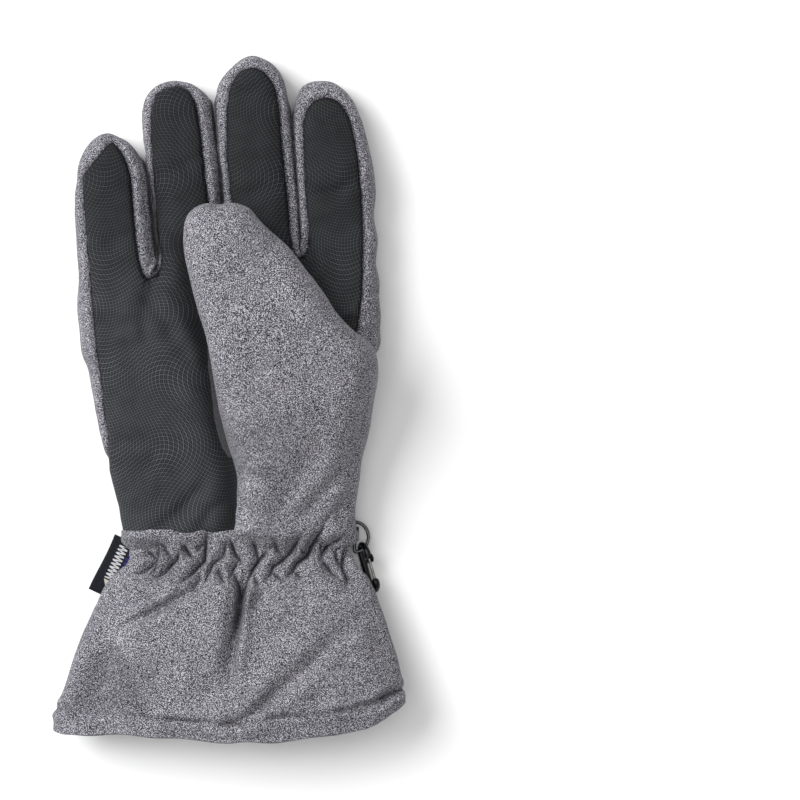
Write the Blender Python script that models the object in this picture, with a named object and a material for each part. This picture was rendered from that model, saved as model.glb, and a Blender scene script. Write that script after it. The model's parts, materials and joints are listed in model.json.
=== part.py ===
"""A padded right-hand ski glove that lies palm up on its back, with the thumb folded over the palm.

Three sewn layers follow one form: an outer shell of panels, a wadding layer and a lining bag. Each layer is
the space between two copies of the form, one set deeper than the other. The shell is cut along its seams into
the palm panel, the back panel, the finger panels and the gussets between the fingers. Gaps at the finger
joints, the thumb and the wrist are closed by sleeves, which are the stretches of fabric that bend.

Lengths below are millimetres. X runs across the palm towards the thumb side, Y towards the fingertips and Z up.
"""

import math

import bmesh
import bpy
from mathutils import Matrix, Vector

MM = 0.001

# Layers, as depths below the outer surface.
SHELL = (0.0, 1.0)
WADDING = (1.4, 4.4)
LINING = (4.7, 5.7)
LUMPED = (0.0, 5.7)
ELASTIC = (1.4, 2.6)
PANEL_GAP = 0.4
OPEN_END = 2.5
SLEEVE_FLOOR = 0.5
WELD = (0.02, 0.01, 0.004, 0.001)

# The seam between the dark palm side and the back runs at this height.
SEAM_HEIGHT = 20.0
GUSSET_FLOOR = 5.0
GUSSET_REACH = 5.5
GUSSET_INSET = 5.2

# Section corners are rounder at 2 and squarer above it.
ROUNDNESS = 2.5
FINGER_SIDES = 12
THUMB_SIDES = 14
PALM_SIDES = 20
CUFF_SIDES = 24

# Fingers: axis from a root inside the palm to the tip, sideways bow, half width, joint's distance from the tip.
FINGER_CENTRE_HEIGHT = 11.6
FINGER_HALF_HEIGHT = 12.2
FINGERS = {
    "little": {"root": (-43.5, 24.6), "tip": (-51.0, 111.5), "bow": -1.5, "half": 14.2, "joint": 34.0},
    "ring": {"root": (-14.9, 28.8), "tip": (-22.9, 133.8), "bow": -1.3, "half": 14.2, "joint": 41.0},
    "middle": {"root": (14.0, 28.8), "tip": (8.6, 144.3), "bow": 0.0, "half": 15.0, "joint": 44.0},
    "index": {"root": (44.7, 28.8), "tip": (38.0, 133.8), "bow": 3.2, "half": 15.2, "joint": 41.0},
}
TIP_ROUNDING = 17.0
TIP_RINGS = (0.7, 3.0, 7.0, 12.0, 17.0)
FRONT_END = 5.5
GUSSET_END = 9.0
FLEX_GAP = 7.6

# The webs between the fingers: neighbours, centre, and half sizes.
WEBS = {
    "little_ring": {"centre": (-32.4, 41.5), "half": (8.5, 10.5)},
    "ring_middle": {"centre": (-4.0, 60.0), "half": (8.5, 15.0)},
    "middle_index": {"centre": (29.0, 50.5), "half": (8.5, 11.5)},
}
WEB_HALF_HEIGHT = 10.5
SMALLEST_WEB = 5.0
NEIGHBOURS = (("little", "ring"), ("ring", "middle"), ("middle", "index"))

# Palm sections from the wrist seam to the fingers: y, centre x, half width, centre z, half height.
WRIST_SEAM_Y = -56.3
PALM = (
    (WRIST_SEAM_Y, 2.7, 47.4, 13.2, 13.0),
    (-40.0, 1.0, 51.5, 13.4, 13.8),
    (-22.0, -0.2, 54.6, 13.5, 14.3),
    (0.0, -0.4, 58.0, 13.5, 14.3),
    (24.0, -0.6, 61.0, 13.2, 14.0),
    (40.0, -1.2, 61.8, 12.8, 13.6),
    (48.0, -1.2, 60.0, 12.4, 11.6),
)

# Thumb: the line from its hinge to its tip, seen from above, and sections along it.
THUMB_HINGE = (19.4, 16.0)
THUMB_TIP = (-6.9, 82.1)
THUMB_HEIGHT = 42.0
THUMB_HALF_HEIGHT = 11.6
THUMB_RINGS = ((1.0, 0.24), (4.0, 0.52), (9.0, 0.79), (15.0, 1.0))
THUMB_TIP_HALF = 18.0
THUMB_HINGE_HALF = 29.0
THUMB_BASE = (
    ((26.3, -48.0, 14.5), 21.5, 10.5),
    ((26.3, -24.0, 25.0), 25.5, 12.5),
    ((24.5, -6.0, 36.0), 28.0, 12.0),
)
# Outline of the grey thumb base on the palm, from above: left edge, thumb line, crotch, right side, wrist.
THUMB_PATCH = ((2.2, -62.0), (-9.5, 5.0), (-6.0, 12.0), (50.0, 34.0), (70.0, 36.0), (70.0, -62.0))

# Wrist and gauntlet sections: y, centre x, half width, centre z, half height.
WRIST = (
    (-56.7, 2.7, 47.2, 13.2, 12.8),
    (-63.0, 2.2, 45.6, 13.0, 12.0),
    (-69.5, 1.8, 48.2, 13.2, 12.2),
    (-75.8, 1.6, 51.8, 13.8, 13.0),
)
CUFF = (
    (-76.2, 1.6, 52.2, 13.6, 13.2),
    (-88.0, 1.2, 58.8, 14.8, 14.6),
    (-106.0, 0.8, 65.6, 16.4, 16.4),
    (-128.8, 0.0, 71.4, 18.2, 18.2),
)
HEM = (
    (-129.2, 0.0, 71.6, 18.3, 18.3),
    (-136.5, 0.0, 73.2, 18.8, 18.8),
    (-143.8, 0.0, 74.0, 19.2, 19.2),
)
ELASTIC_ROWS = {"upper": (-60.0, -65.5), "lower": (-68.5, -74.0)}

# Woven label, folded over at its outer edge: corners from above, and the height of its underside.
LABEL_OUTLINE = (
    (-49.6, -57.2),
    (-60.2, -79.6),
    (-55.0, -81.8),
    (-51.2, -75.8),
    (-47.4, -69.5),
    (-44.5, -63.0),
    (-45.3, -57.8),
)
LABEL_HEIGHT = 12.4
LABEL_THICKNESS = 1.2

# D-ring in the webbing tab at the thumb side of the wrist.
D_RING_BAR_X = 51.6
D_RING_Y = -58.4
D_RING_Z = 4.6
D_RING_DEPTH = 6.0
D_RING_HALF_LENGTH = 6.4
D_RING_WIRE = 0.7
D_RING_ARC_POINTS = 11
TAB_HALF_WIDTH = 3.0
TAB_SHIFT = 1.3
TAB_CLEARANCE = 0.35
TAB_THICKNESS = 0.9
TAB_TOP = 13.2

# Snap hook: a long loop with a gate in its outer side.
HOOK_DIRECTION = (0.31, -0.95)
HOOK_ROLL = math.radians(68.0)
HOOK_HALF_LENGTH = 11.0
HOOK_HALF_WIDTH = 3.7
HOOK_WIRE = 1.1
HOOK_LINK_ANGLE = math.radians(-55.0)
HOOK_LINK_CLEARANCE = 0.8
GATE_PIVOT = -4.6
GATE_END = 6.6
GATE_WIRE = 0.72
GATE_CLEARANCE = 0.15
GATE_EYE = 1.15
PIN_RADIUS = 0.4
PIN_CLEARANCE = 0.06
CHEEK_HALF_THICKNESS = 1.7
CHEEK_SLOT_HALF = 0.95
CHEEK_RADIUS = 1.5

MATERIALS = {
    "shell_grey": ((0.26, 0.26, 0.28), 0.85, 0.0),
    "palm_grip": ((0.035, 0.04, 0.042), 0.6, 0.0),
    "wadding": ((0.85, 0.85, 0.82), 0.95, 0.0),
    "lining": ((0.05, 0.05, 0.055), 0.9, 0.0),
    "elastic": ((0.7, 0.7, 0.68), 0.8, 0.0),
    "label": ((0.012, 0.012, 0.018), 0.6, 0.0),
    "webbing": ((0.02, 0.02, 0.022), 0.75, 0.0),
    "black_plastic": ((0.01, 0.012, 0.014), 0.3, 0.0),
    "black_metal": ((0.06, 0.065, 0.07), 0.35, 1.0),
}

parts = bpy.data.collections.new("ski_glove")
helpers = bpy.data.collections.new("cutters")


def clear_scene():
    for obj in list(bpy.data.objects):
        bpy.data.objects.remove(obj)
    for collection in (parts, helpers):
        bpy.context.scene.collection.children.link(collection)


def material(name):
    """The named Principled material, made once."""
    found = bpy.data.materials.get(name)
    if found:
        return found
    colour, roughness, metallic = MATERIALS[name]
    made = bpy.data.materials.new(name)
    made.use_nodes = True
    shader = made.node_tree.nodes["Principled BSDF"]
    shader.inputs["Base Color"].default_value = (*colour, 1.0)
    shader.inputs["Roughness"].default_value = roughness
    shader.inputs["Metallic"].default_value = metallic
    return made


def add_object(name, data, collection=helpers):
    obj = bpy.data.objects.new(name, data)
    collection.objects.link(obj)
    if collection is helpers:
        obj.hide_render = True
        obj.display_type = "WIRE"
    return obj


def publish(obj, name, material_name):
    """Makes a finished helper mesh into one of the glove's parts."""
    helpers.objects.unlink(obj)
    parts.objects.link(obj)
    obj.name = name
    obj.hide_render = False
    obj.display_type = "TEXTURED"
    obj.data.materials.clear()
    obj.data.materials.append(material(material_name))
    obj.data.shade_smooth()
    obj.data.set_sharp_from_angle(angle=math.radians(50))
    return obj


def bake(obj):
    """Replaces the object's mesh, or curve, with the mesh that its modifiers make."""
    graph = bpy.context.evaluated_depsgraph_get()
    mesh = bpy.data.meshes.new_from_object(obj.evaluated_get(graph))
    if obj.type == "MESH":
        obj.modifiers.clear()
        obj.data = mesh
        return obj
    made = add_object(obj.name, mesh)
    made.matrix_world = obj.matrix_world
    bpy.data.objects.remove(obj)
    weld = bmesh.new()
    weld.from_mesh(mesh)
    bmesh.ops.remove_doubles(weld, verts=weld.verts, dist=1e-6)
    bmesh.ops.recalc_face_normals(weld, faces=weld.faces)
    weld.to_mesh(mesh)
    weld.free()
    return made


def boolean(target, other, operation, keep=False):
    """Cuts or joins the target with another closed mesh."""
    cut = target.modifiers.new("boolean", "BOOLEAN")
    cut.operation = operation
    cut.object = other
    cut.solver = "EXACT"
    bake(target)
    tidy(target.data)
    if not keep:
        bpy.data.objects.remove(other)
    return target


def tidy(mesh):
    """Joins the points that a boolean leaves closer than WELD, unless that would open the surface."""
    for distance in WELD:
        shape = bmesh.new()
        shape.from_mesh(mesh)
        bmesh.ops.remove_doubles(shape, verts=shape.verts, dist=distance * MM)
        bmesh.ops.dissolve_degenerate(shape, edges=shape.edges, dist=distance * MM)
        closed = all(len(edge.link_faces) == 2 for edge in shape.edges)
        if closed:
            shape.to_mesh(mesh)
        shape.free()
        if closed:
            return


def keep_largest(obj):
    """Drops the offcuts that a cut leaves loose beside the main piece."""
    shape = bmesh.new()
    shape.from_mesh(obj.data)
    left = set(shape.verts)
    pieces = []
    while left:
        front = [left.pop()]
        piece = list(front)
        while front:
            here = front.pop()
            for edge in here.link_edges:
                other = edge.other_vert(here)
                if other in left:
                    left.discard(other)
                    front.append(other)
                    piece.append(other)
        pieces.append(piece)
    pieces.sort(key=len)
    loose = [vert for piece in pieces[:-1] for vert in piece]
    bmesh.ops.delete(shape, geom=loose, context="VERTS")
    shape.to_mesh(obj.data)
    shape.free()
    return obj


def copy_of(obj):
    return add_object(obj.name + "_copy", obj.data.copy())


def section(centre, along, half_width, half_height, sides):
    """One rounded section across the direction along, as a ring of points."""
    side = along.cross(Vector((0, 0, 1))).normalized()
    up = side.cross(along).normalized()
    ring = []
    for i in range(sides):
        angle = 2 * math.pi * (i + 0.5) / sides
        c, s = math.cos(angle), math.sin(angle)
        across = half_width * math.copysign(abs(c) ** (2 / ROUNDNESS), c)
        rise = half_height * math.copysign(abs(s) ** (2 / ROUNDNESS), s)
        ring.append(centre + side * across + up * rise)
    return ring


def bridge(shape, lower, upper):
    """A band of triangles between two rings, all split the same way so that nested lofts never cross."""
    for i in range(len(lower)):
        j = (i + 1) % len(lower)
        shape.faces.new((lower[i], lower[j], upper[j]))
        shape.faces.new((lower[i], upper[j], upper[i]))


def loft(rings, caps=(True, True), floor=None):
    """A mesh object through rings of equal count. floor flattens what would lie below it."""
    shape = bmesh.new()
    rows = []
    for ring in rings:
        heights = [p.z if floor is None else max(p.z, floor) for p in ring]
        rows.append([shape.verts.new((p.x * MM, p.y * MM, z * MM)) for p, z in zip(ring, heights)])
    for lower, upper in zip(rows, rows[1:]):
        bridge(shape, lower, upper)
    for row, wanted in ((rows[0], caps[0]), (rows[-1], caps[1])):
        if wanted:
            shape.faces.new(row)
    bmesh.ops.recalc_face_normals(shape, faces=shape.faces)
    mesh = bpy.data.meshes.new("loft")
    shape.to_mesh(mesh)
    shape.free()
    return add_object("loft", mesh)


def wall(outer, inner, floors=(None, None), closed_end=False):
    """A wall between two lofts of equal rings: a tube, or a cup when closed_end is set."""
    shape = bmesh.new()
    surfaces = []
    for rings, floor in ((outer, floors[0]), (inner, floors[1])):
        rows = []
        for ring in rings:
            heights = [p.z if floor is None else max(p.z, floor) for p in ring]
            rows.append([shape.verts.new((p.x * MM, p.y * MM, z * MM)) for p, z in zip(ring, heights)])
        surfaces.append(rows)
    bands = [pair for rows in surfaces for pair in zip(rows, rows[1:])]
    bands.append((surfaces[0][0], surfaces[1][0]))
    if closed_end:
        shape.faces.new(surfaces[0][-1])
        shape.faces.new(surfaces[1][-1])
    else:
        bands.append((surfaces[0][-1], surfaces[1][-1]))
    for lower, upper in bands:
        bridge(shape, lower, upper)
    bmesh.ops.recalc_face_normals(shape, faces=shape.faces)
    mesh = bpy.data.meshes.new("wall")
    shape.to_mesh(mesh)
    shape.free()
    return add_object("wall", mesh)


def box(low, high, turn=0.0, pivot=(0.0, 0.0)):
    """A cutter box between two corners, turned about a vertical line through pivot."""
    shape = bmesh.new()
    bmesh.ops.create_cube(shape, size=1.0)
    mesh = bpy.data.meshes.new("box")
    shape.to_mesh(mesh)
    shape.free()
    low, high = Vector(low) * MM, Vector(high) * MM
    size = high - low
    corner = Matrix.Translation(low + size / 2) @ Matrix.Diagonal((*size, 1.0))
    at = Matrix.Translation((pivot[0] * MM, pivot[1] * MM, 0.0))
    mesh.transform(at @ Matrix.Rotation(turn, 4, "Z") @ corner)
    return add_object("box", mesh)


def prism(outline, low, high, grow=0.0):
    """An upright cutter with the given outline, each side moved out by grow."""
    centre = sum((Vector(p) for p in outline), Vector((0.0, 0.0))) / len(outline)
    shape = bmesh.new()
    corners = []
    for p in outline:
        out = Vector(p) - centre
        corners.append(Vector(p) + out.normalized() * grow)
    bottom = [shape.verts.new((p.x * MM, p.y * MM, low * MM)) for p in corners]
    face = shape.faces.new(bottom)
    raised = bmesh.ops.extrude_face_region(shape, geom=[face])["geom"]
    top = [v for v in raised if isinstance(v, bmesh.types.BMVert)]
    bmesh.ops.translate(shape, verts=top, vec=(0, 0, (high - low) * MM))
    bmesh.ops.recalc_face_normals(shape, faces=shape.faces)
    mesh = bpy.data.meshes.new("prism")
    shape.to_mesh(mesh)
    shape.free()
    return add_object("prism", mesh)


def finger_frame(name, from_tip):
    """Centre and direction of a finger's axis at a distance from its tip."""
    spec = FINGERS[name]
    root, tip = Vector((*spec["root"], 0.0)), Vector((*spec["tip"], 0.0))
    length = (tip - root).length
    t = 1 - from_tip / length
    bow = spec["bow"]
    centre = root.lerp(tip, t) + Vector((bow * 4 * t * (1 - t), 0, FINGER_CENTRE_HEIGHT))
    along = (tip - root) / length + Vector((bow * 4 * (1 - 2 * t) / length, 0, 0))
    return centre, along.normalized()


def finger_ring(name, from_tip, depth, nose=0.0):
    """A finger's section. nose is how far from the rounded end it is, to narrow it."""
    centre, along = finger_frame(name, from_tip)
    round_off = math.sqrt(max(0.0, 1 - (1 - min(nose / TIP_ROUNDING, 1.0)) ** 2)) if nose else 1.0
    flatter = round_off**0.7
    half = FINGERS[name]["half"] - depth
    return section(centre, along, half * round_off, (FINGER_HALF_HEIGHT - depth) * flatter, FINGER_SIDES)


def finger_end(name, layer):
    """The cup of a finger beyond its joint, between two depths."""
    surfaces = []
    for depth in layer:
        rings = [finger_ring(name, FINGERS[name]["joint"] - FLEX_GAP, depth)]
        rings += [finger_ring(name, depth + nose, depth, nose) for nose in reversed(TIP_RINGS)]
        surfaces.append(rings)
    return wall(*surfaces, floors=layer, closed_end=True)


def palm_like(sections, depth, sides, extend=(0.0, 0.0)):
    """Rings of a tube along Y, with its first and last pushed out by extend."""
    last = len(sections) - 1
    rings = []
    for i, (y, x, half_width, z, half_height) in enumerate(sections):
        shift = extend[0] if i == 0 else -extend[1] if i == last else 0.0
        going = math.copysign(1.0, sections[-1][0] - sections[0][0])
        centre = Vector((x, y - going * shift, z))
        rings.append(section(centre, Vector((0, 1, 0)), half_width - depth, half_height - depth, sides))
    return rings


def thumb_direction():
    along = Vector(THUMB_TIP) - Vector(THUMB_HINGE)
    return Vector((*along.normalized(), 0.0)), along.length


def thumb_ring(from_hinge, depth, round_off=1.0):
    along, length = thumb_direction()
    share = from_hinge / (length - THUMB_RINGS[-1][0])
    half = THUMB_HINGE_HALF + (THUMB_TIP_HALF - THUMB_HINGE_HALF) * min(share, 1.0)
    centre = Vector((*THUMB_HINGE, THUMB_HEIGHT)) + along * from_hinge
    height = (THUMB_HALF_HEIGHT - depth) * round_off**0.7
    return section(centre, along, (half - depth) * round_off, height, THUMB_SIDES)


def thumb_base_rings(depth, extend):
    """Sections from inside the palm up to the thumb's hinge."""
    rings = []
    path = [Vector(centre) for centre, _, _ in THUMB_BASE]
    end = Vector((*THUMB_HINGE, THUMB_HEIGHT)) - thumb_direction()[0] * FLEX_GAP
    path.append(end)
    for i, (centre, half_width, half_height) in enumerate(THUMB_BASE):
        along = (path[i + 1] - path[max(i - 1, 0)]).normalized()
        rings.append(section(Vector(centre), along, half_width - depth, half_height - depth, THUMB_SIDES))
    rings.append(thumb_ring(-FLEX_GAP, depth))
    if extend:
        rings.append(thumb_ring(-FLEX_GAP + extend, depth))
    return rings


def web(name, depth):
    """The rounded web between two fingers."""
    half_x, half_y = (h - depth for h in WEBS[name]["half"])
    shape = bmesh.new()
    bmesh.ops.create_uvsphere(shape, u_segments=12, v_segments=6, radius=1.0)
    mesh = bpy.data.meshes.new("web")
    shape.to_mesh(mesh)
    shape.free()
    x, y = WEBS[name]["centre"]
    size = Vector((half_x, half_y, WEB_HALF_HEIGHT - depth)) * MM
    place = Matrix.Translation(Vector((x, y, FINGER_CENTRE_HEIGHT)) * MM)
    mesh.transform(place @ Matrix.Diagonal((*size, 1.0)))
    return add_object("web", mesh)


def hand_form(depth, extend=0.0):
    """The closed form of palm, finger roots and thumb base, this far below the outer surface."""
    form = loft(palm_like(PALM, depth, PALM_SIDES, (extend, -depth)))
    for name, spec in FINGERS.items():
        start = root_length(name) - depth
        stations = (start, start * 0.55 + spec["joint"] * 0.45)
        rings = [finger_ring(name, d, depth) for d in (*stations, spec["joint"] + FLEX_GAP - extend)]
        boolean(form, loft(rings), "UNION")
    for name, spec in WEBS.items():
        if min(spec["half"]) - depth > SMALLEST_WEB:
            boolean(form, web(name, depth), "UNION")
    boolean(form, loft(thumb_base_rings(depth, extend)), "UNION")
    return boolean(form, box((-200, -300, -50), (200, 300, depth)), "DIFFERENCE")


def root_length(name):
    spec = FINGERS[name]
    return (Vector(spec["tip"]) - Vector(spec["root"])).length


def hand_layer(layer):
    """The layer between two depths of the hand form, open at the wrist, the fingers and the thumb."""
    outer = hand_form(layer[0])
    inner = hand_form(layer[1], OPEN_END)
    return boolean(outer, inner, "DIFFERENCE")


def build_hand():
    half_gap = PANEL_GAP / 2
    shell = hand_layer(SHELL)
    back = copy_of(shell)
    boolean(back, box((-200, -300, SEAM_HEIGHT - half_gap), (200, 300, 100)), "DIFFERENCE")
    boolean(shell, box((-200, -300, -50), (200, 300, SEAM_HEIGHT + half_gap)), "DIFFERENCE")
    thumb_base = copy_of(shell)
    boolean(thumb_base, prism(THUMB_PATCH, SEAM_HEIGHT - 2, 80), "INTERSECT")
    boolean(shell, prism(THUMB_PATCH, SEAM_HEIGHT - 2, 80, PANEL_GAP * 1.5), "DIFFERENCE")
    for name, spec in WEBS.items():
        x, y = spec["centre"]
        low = (x - GUSSET_REACH, y, GUSSET_FLOOR + half_gap)
        high = (x + GUSSET_REACH, y + 60, SEAM_HEIGHT + 1)
        gusset = boolean(copy_of(back), box(low, high), "INTERSECT")
        grown_low = (low[0] - PANEL_GAP, low[1] - PANEL_GAP, GUSSET_FLOOR - half_gap)
        boolean(back, box(grown_low, (high[0] + PANEL_GAP, high[1], high[2])), "DIFFERENCE")
        publish(gusset, "fourchette_" + name, "shell_grey")
    publish(keep_largest(shell), "palm_panel", "palm_grip")
    publish(keep_largest(back), "back_panel", "shell_grey")
    publish(thumb_base, "thumb_base_panel", "shell_grey")
    publish(hand_layer(WADDING), "hand_wadding", "wadding")
    publish(hand_layer(LINING), "hand_lining", "lining")


def finger_box(name, low, high):
    """A box in a finger's own frame: across its axis, along it from the tip backwards, and up."""
    centre, along = finger_frame(name, 20.0)
    turn = math.atan2(along.y, along.x) - math.pi / 2
    return box((low[0], 20.0 - high[1], low[2]), (high[0], 20.0 - low[1], high[2]), turn, centre.xy)


def build_finger(name):
    """One fingertip beyond its joint: front panel, back panel, gussets, wadding and lining, and the sleeve."""
    spec = FINGERS[name]
    half = spec["half"]
    half_gap = PANEL_GAP / 2
    back = finger_end(name, SHELL)
    front = copy_of(back)
    boolean(front, finger_box(name, (-40, FRONT_END, SEAM_HEIGHT + half_gap), (40, 90, 60)), "INTERSECT")
    window = finger_box(name, (-40, FRONT_END - PANEL_GAP, SEAM_HEIGHT - half_gap), (40, 90, 60))
    boolean(back, window, "DIFFERENCE")
    for pair in NEIGHBOURS:
        if name not in pair:
            continue
        side = 1 if name == pair[0] else -1
        inner, outer = half - GUSSET_INSET, half + 10
        low = (min(side * inner, side * outer), GUSSET_END, GUSSET_FLOOR + half_gap)
        high = (max(side * inner, side * outer), 90, SEAM_HEIGHT + 1)
        gusset = boolean(copy_of(back), finger_box(name, low, high), "INTERSECT")
        grown = (low[0] - PANEL_GAP, low[1] - PANEL_GAP, low[2] - PANEL_GAP)
        grown_high = (high[0] + PANEL_GAP, high[1], high[2])
        boolean(back, finger_box(name, grown, grown_high), "DIFFERENCE")
        which = "thumb_side" if side == 1 else "outer_side"
        publish(gusset, f"{name}_gusset_{which}", "shell_grey")
    publish(front, name + "_front_panel", "palm_grip")
    publish(back, name + "_back_panel", "shell_grey")
    publish(finger_end(name, WADDING), name + "_wadding", "wadding")
    publish(finger_end(name, LINING), name + "_lining", "lining")
    reach = FLEX_GAP - PANEL_GAP
    surfaces = []
    for depth in LUMPED:
        surfaces.append([finger_ring(name, spec["joint"] + d, depth) for d in (reach, 0.0, -reach)])
    sleeve = wall(*surfaces, floors=(SLEEVE_FLOOR, LUMPED[1]))
    publish(sleeve, name + "_flex_sleeve", "shell_grey")


def thumb_end(layer):
    """The cup of the thumb beyond its hinge, between two depths."""
    length = thumb_direction()[1]
    surfaces = []
    for depth in layer:
        rings = [thumb_ring(FLEX_GAP, depth), thumb_ring((FLEX_GAP + length) / 2, depth)]
        for nose, round_off in reversed(THUMB_RINGS):
            rings.append(thumb_ring(length - depth - nose, depth, round_off))
        surfaces.append(rings)
    return wall(*surfaces, closed_end=True)


def build_thumb():
    half_gap = PANEL_GAP / 2
    back = thumb_end(SHELL)
    front = copy_of(back)
    boolean(front, box((-200, -200, THUMB_HEIGHT + half_gap), (200, 200, 100)), "INTERSECT")
    boolean(back, box((-200, -200, THUMB_HEIGHT - half_gap), (200, 200, 100)), "DIFFERENCE")
    publish(front, "thumb_outer_panel", "shell_grey")
    publish(back, "thumb_inner_panel", "shell_grey")
    publish(thumb_end(WADDING), "thumb_wadding", "wadding")
    publish(thumb_end(LINING), "thumb_lining", "lining")
    reach = FLEX_GAP - PANEL_GAP
    surfaces = [[thumb_ring(d, depth) for d in (-reach, 0.0, reach)] for depth in LUMPED]
    publish(wall(*surfaces), "thumb_flex_sleeve", "shell_grey")


def tube(sections, layer, sides=CUFF_SIDES):
    """A tube wall along Y between two depths."""
    outer, inner = (palm_like(sections, depth, sides) for depth in layer)
    return wall(outer, inner, floors=layer)


def between(sections, start, end):
    """The tube's sections between two places along Y, with interpolated ends."""

    def at(y):
        for first, second in zip(sections, sections[1:]):
            if second[0] <= y <= first[0]:
                t = (y - first[0]) / (second[0] - first[0])
                return tuple(a + (b - a) * t for a, b in zip(first, second))
        raise ValueError("outside the tube")

    inside = [s for s in sections if end < s[0] < start]
    return (at(start), *inside, at(end))


def build_wrist_and_cuff():
    half_gap = PANEL_GAP / 2
    publish(tube(WRIST, SHELL), "wrist_shirred_sleeve", "shell_grey")
    publish(tube(WRIST, LINING), "wrist_lining", "lining")
    for row, (start, end) in ELASTIC_ROWS.items():
        publish(tube(between(WRIST, start, end), ELASTIC), f"wrist_elastic_{row}", "elastic")
    front = tube(CUFF, SHELL)
    back = copy_of(front)
    middle = CUFF[1][3]
    boolean(front, box((-200, -200, middle + half_gap), (200, 200, 100)), "INTERSECT")
    boolean(back, box((-200, -200, middle - half_gap), (200, 200, 100)), "DIFFERENCE")
    publish(front, "cuff_front_panel", "shell_grey")
    publish(back, "cuff_back_panel", "shell_grey")
    publish(tube(CUFF, WADDING), "cuff_wadding", "wadding")
    publish(tube(CUFF, LINING), "cuff_lining", "lining")
    publish(tube(HEM, (0.0, 4.4)), "cuff_hem", "shell_grey")


def flat_curve(name, outlines, thickness):
    """A flat curve object with the given closed outlines, holes among them, thickened both ways."""
    curve = bpy.data.curves.new(name, "CURVE")
    curve.dimensions = "2D"
    curve.fill_mode = "BOTH"
    curve.extrude = thickness / 2 * MM
    for outline in outlines:
        spline = curve.splines.new("POLY")
        spline.points.add(len(outline) - 1)
        for point, (x, y) in zip(spline.points, outline):
            point.co = (x * MM, y * MM, 0.0, 1.0)
        spline.use_cyclic_u = True
    return add_object(name, curve)


def build_label():
    label = flat_curve("label", [LABEL_OUTLINE], LABEL_THICKNESS)
    label.location = (0, 0, (LABEL_HEIGHT + LABEL_THICKNESS / 2) * MM)
    bpy.context.view_layer.update()
    publish(bake(label), "woven_label", "label")


def circle(centre, radius, count, start=0.0, sweep=2 * math.pi):
    """Points on an arc. A full circle leaves out its last point, which is its first."""
    steps = count if abs(sweep) >= 2 * math.pi else count - 1
    angles = [start + sweep * i / steps for i in range(count)]
    return [(centre[0] + radius * math.cos(a), centre[1] + radius * math.sin(a)) for a in angles]


def build_tab():
    """The webbing tab: a strip down from the side seam, looped round the D-ring's bar."""
    hole = D_RING_WIRE + TAB_CLEARANCE
    outer = hole + TAB_THICKNESS
    neck = math.asin(TAB_THICKNESS / outer)
    around = circle((0.0, 0.0), outer, 17, math.pi / 2 + neck, 2 * math.pi - 2 * neck)
    strip = [(TAB_THICKNESS, TAB_TOP - D_RING_Z), (-TAB_THICKNESS, TAB_TOP - D_RING_Z)]
    tab = flat_curve("tab", [around + strip, circle((0.0, 0.0), hole, 16)], 2 * TAB_HALF_WIDTH)
    place = Matrix.Translation(Vector((D_RING_BAR_X, D_RING_Y + TAB_SHIFT, D_RING_Z)) * MM)
    tab.matrix_world = place @ Matrix.Rotation(math.radians(90), 4, "X")
    bpy.context.view_layer.update()
    publish(bake(tab), "hanger_tab", "webbing")


def wire(name, points, radius, cyclic, resolution=2):
    """A round wire along points in millimetres."""
    curve = bpy.data.curves.new(name, "CURVE")
    curve.dimensions = "3D"
    curve.bevel_depth = radius * MM
    curve.bevel_resolution = resolution
    curve.use_fill_caps = not cyclic
    spline = curve.splines.new("POLY")
    spline.points.add(len(points) - 1)
    for point, place in zip(spline.points, points):
        point.co = (*(Vector(place) * MM), 1.0)
    spline.use_cyclic_u = cyclic
    return bake(add_object(name, curve))


def d_ring_arc(angle):
    x = D_RING_BAR_X + D_RING_DEPTH * math.cos(angle)
    return Vector((x, D_RING_Y + D_RING_HALF_LENGTH * math.sin(angle), D_RING_Z))


def build_d_ring():
    steps = D_RING_ARC_POINTS - 1
    arc = [d_ring_arc(math.pi * (i / steps - 0.5)) for i in range(D_RING_ARC_POINTS)]
    publish(wire("d_ring", arc, D_RING_WIRE, True), "d_ring", "black_metal")


def hook_frame():
    """The hook's centre, and its long, wide and thin directions."""
    link = d_ring_arc(HOOK_LINK_ANGLE)
    long = Vector((*HOOK_DIRECTION, 0.0)).normalized()
    level = Vector((-long.y, long.x, 0.0))
    wide = level * math.cos(HOOK_ROLL) + Vector((0, 0, 1)) * math.sin(HOOK_ROLL)
    from_link = HOOK_HALF_LENGTH - HOOK_WIRE - HOOK_LINK_CLEARANCE - D_RING_WIRE
    return link + long * from_link, long, wide, long.cross(wide)


def hook_matrix():
    centre, long, wide, thin = hook_frame()
    turn = Matrix((long, wide, thin)).transposed().to_4x4()
    return Matrix.Translation(centre * MM) @ turn


def in_hook(obj):
    """Moves a mesh made in the hook's own frame to its place."""
    obj.data.transform(hook_matrix())
    return obj


def cylinder(radius, half_length, centre, sides=16):
    """A cylinder across the hook's plane."""
    shape = bmesh.new()
    args = {"radius1": radius * MM, "radius2": radius * MM, "depth": 2 * half_length * MM}
    bmesh.ops.create_cone(shape, cap_ends=True, segments=sides, **args)
    mesh = bpy.data.meshes.new("cylinder")
    shape.to_mesh(mesh)
    shape.free()
    mesh.transform(Matrix.Translation(Vector(centre) * MM))
    return add_object("cylinder", mesh)


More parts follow.
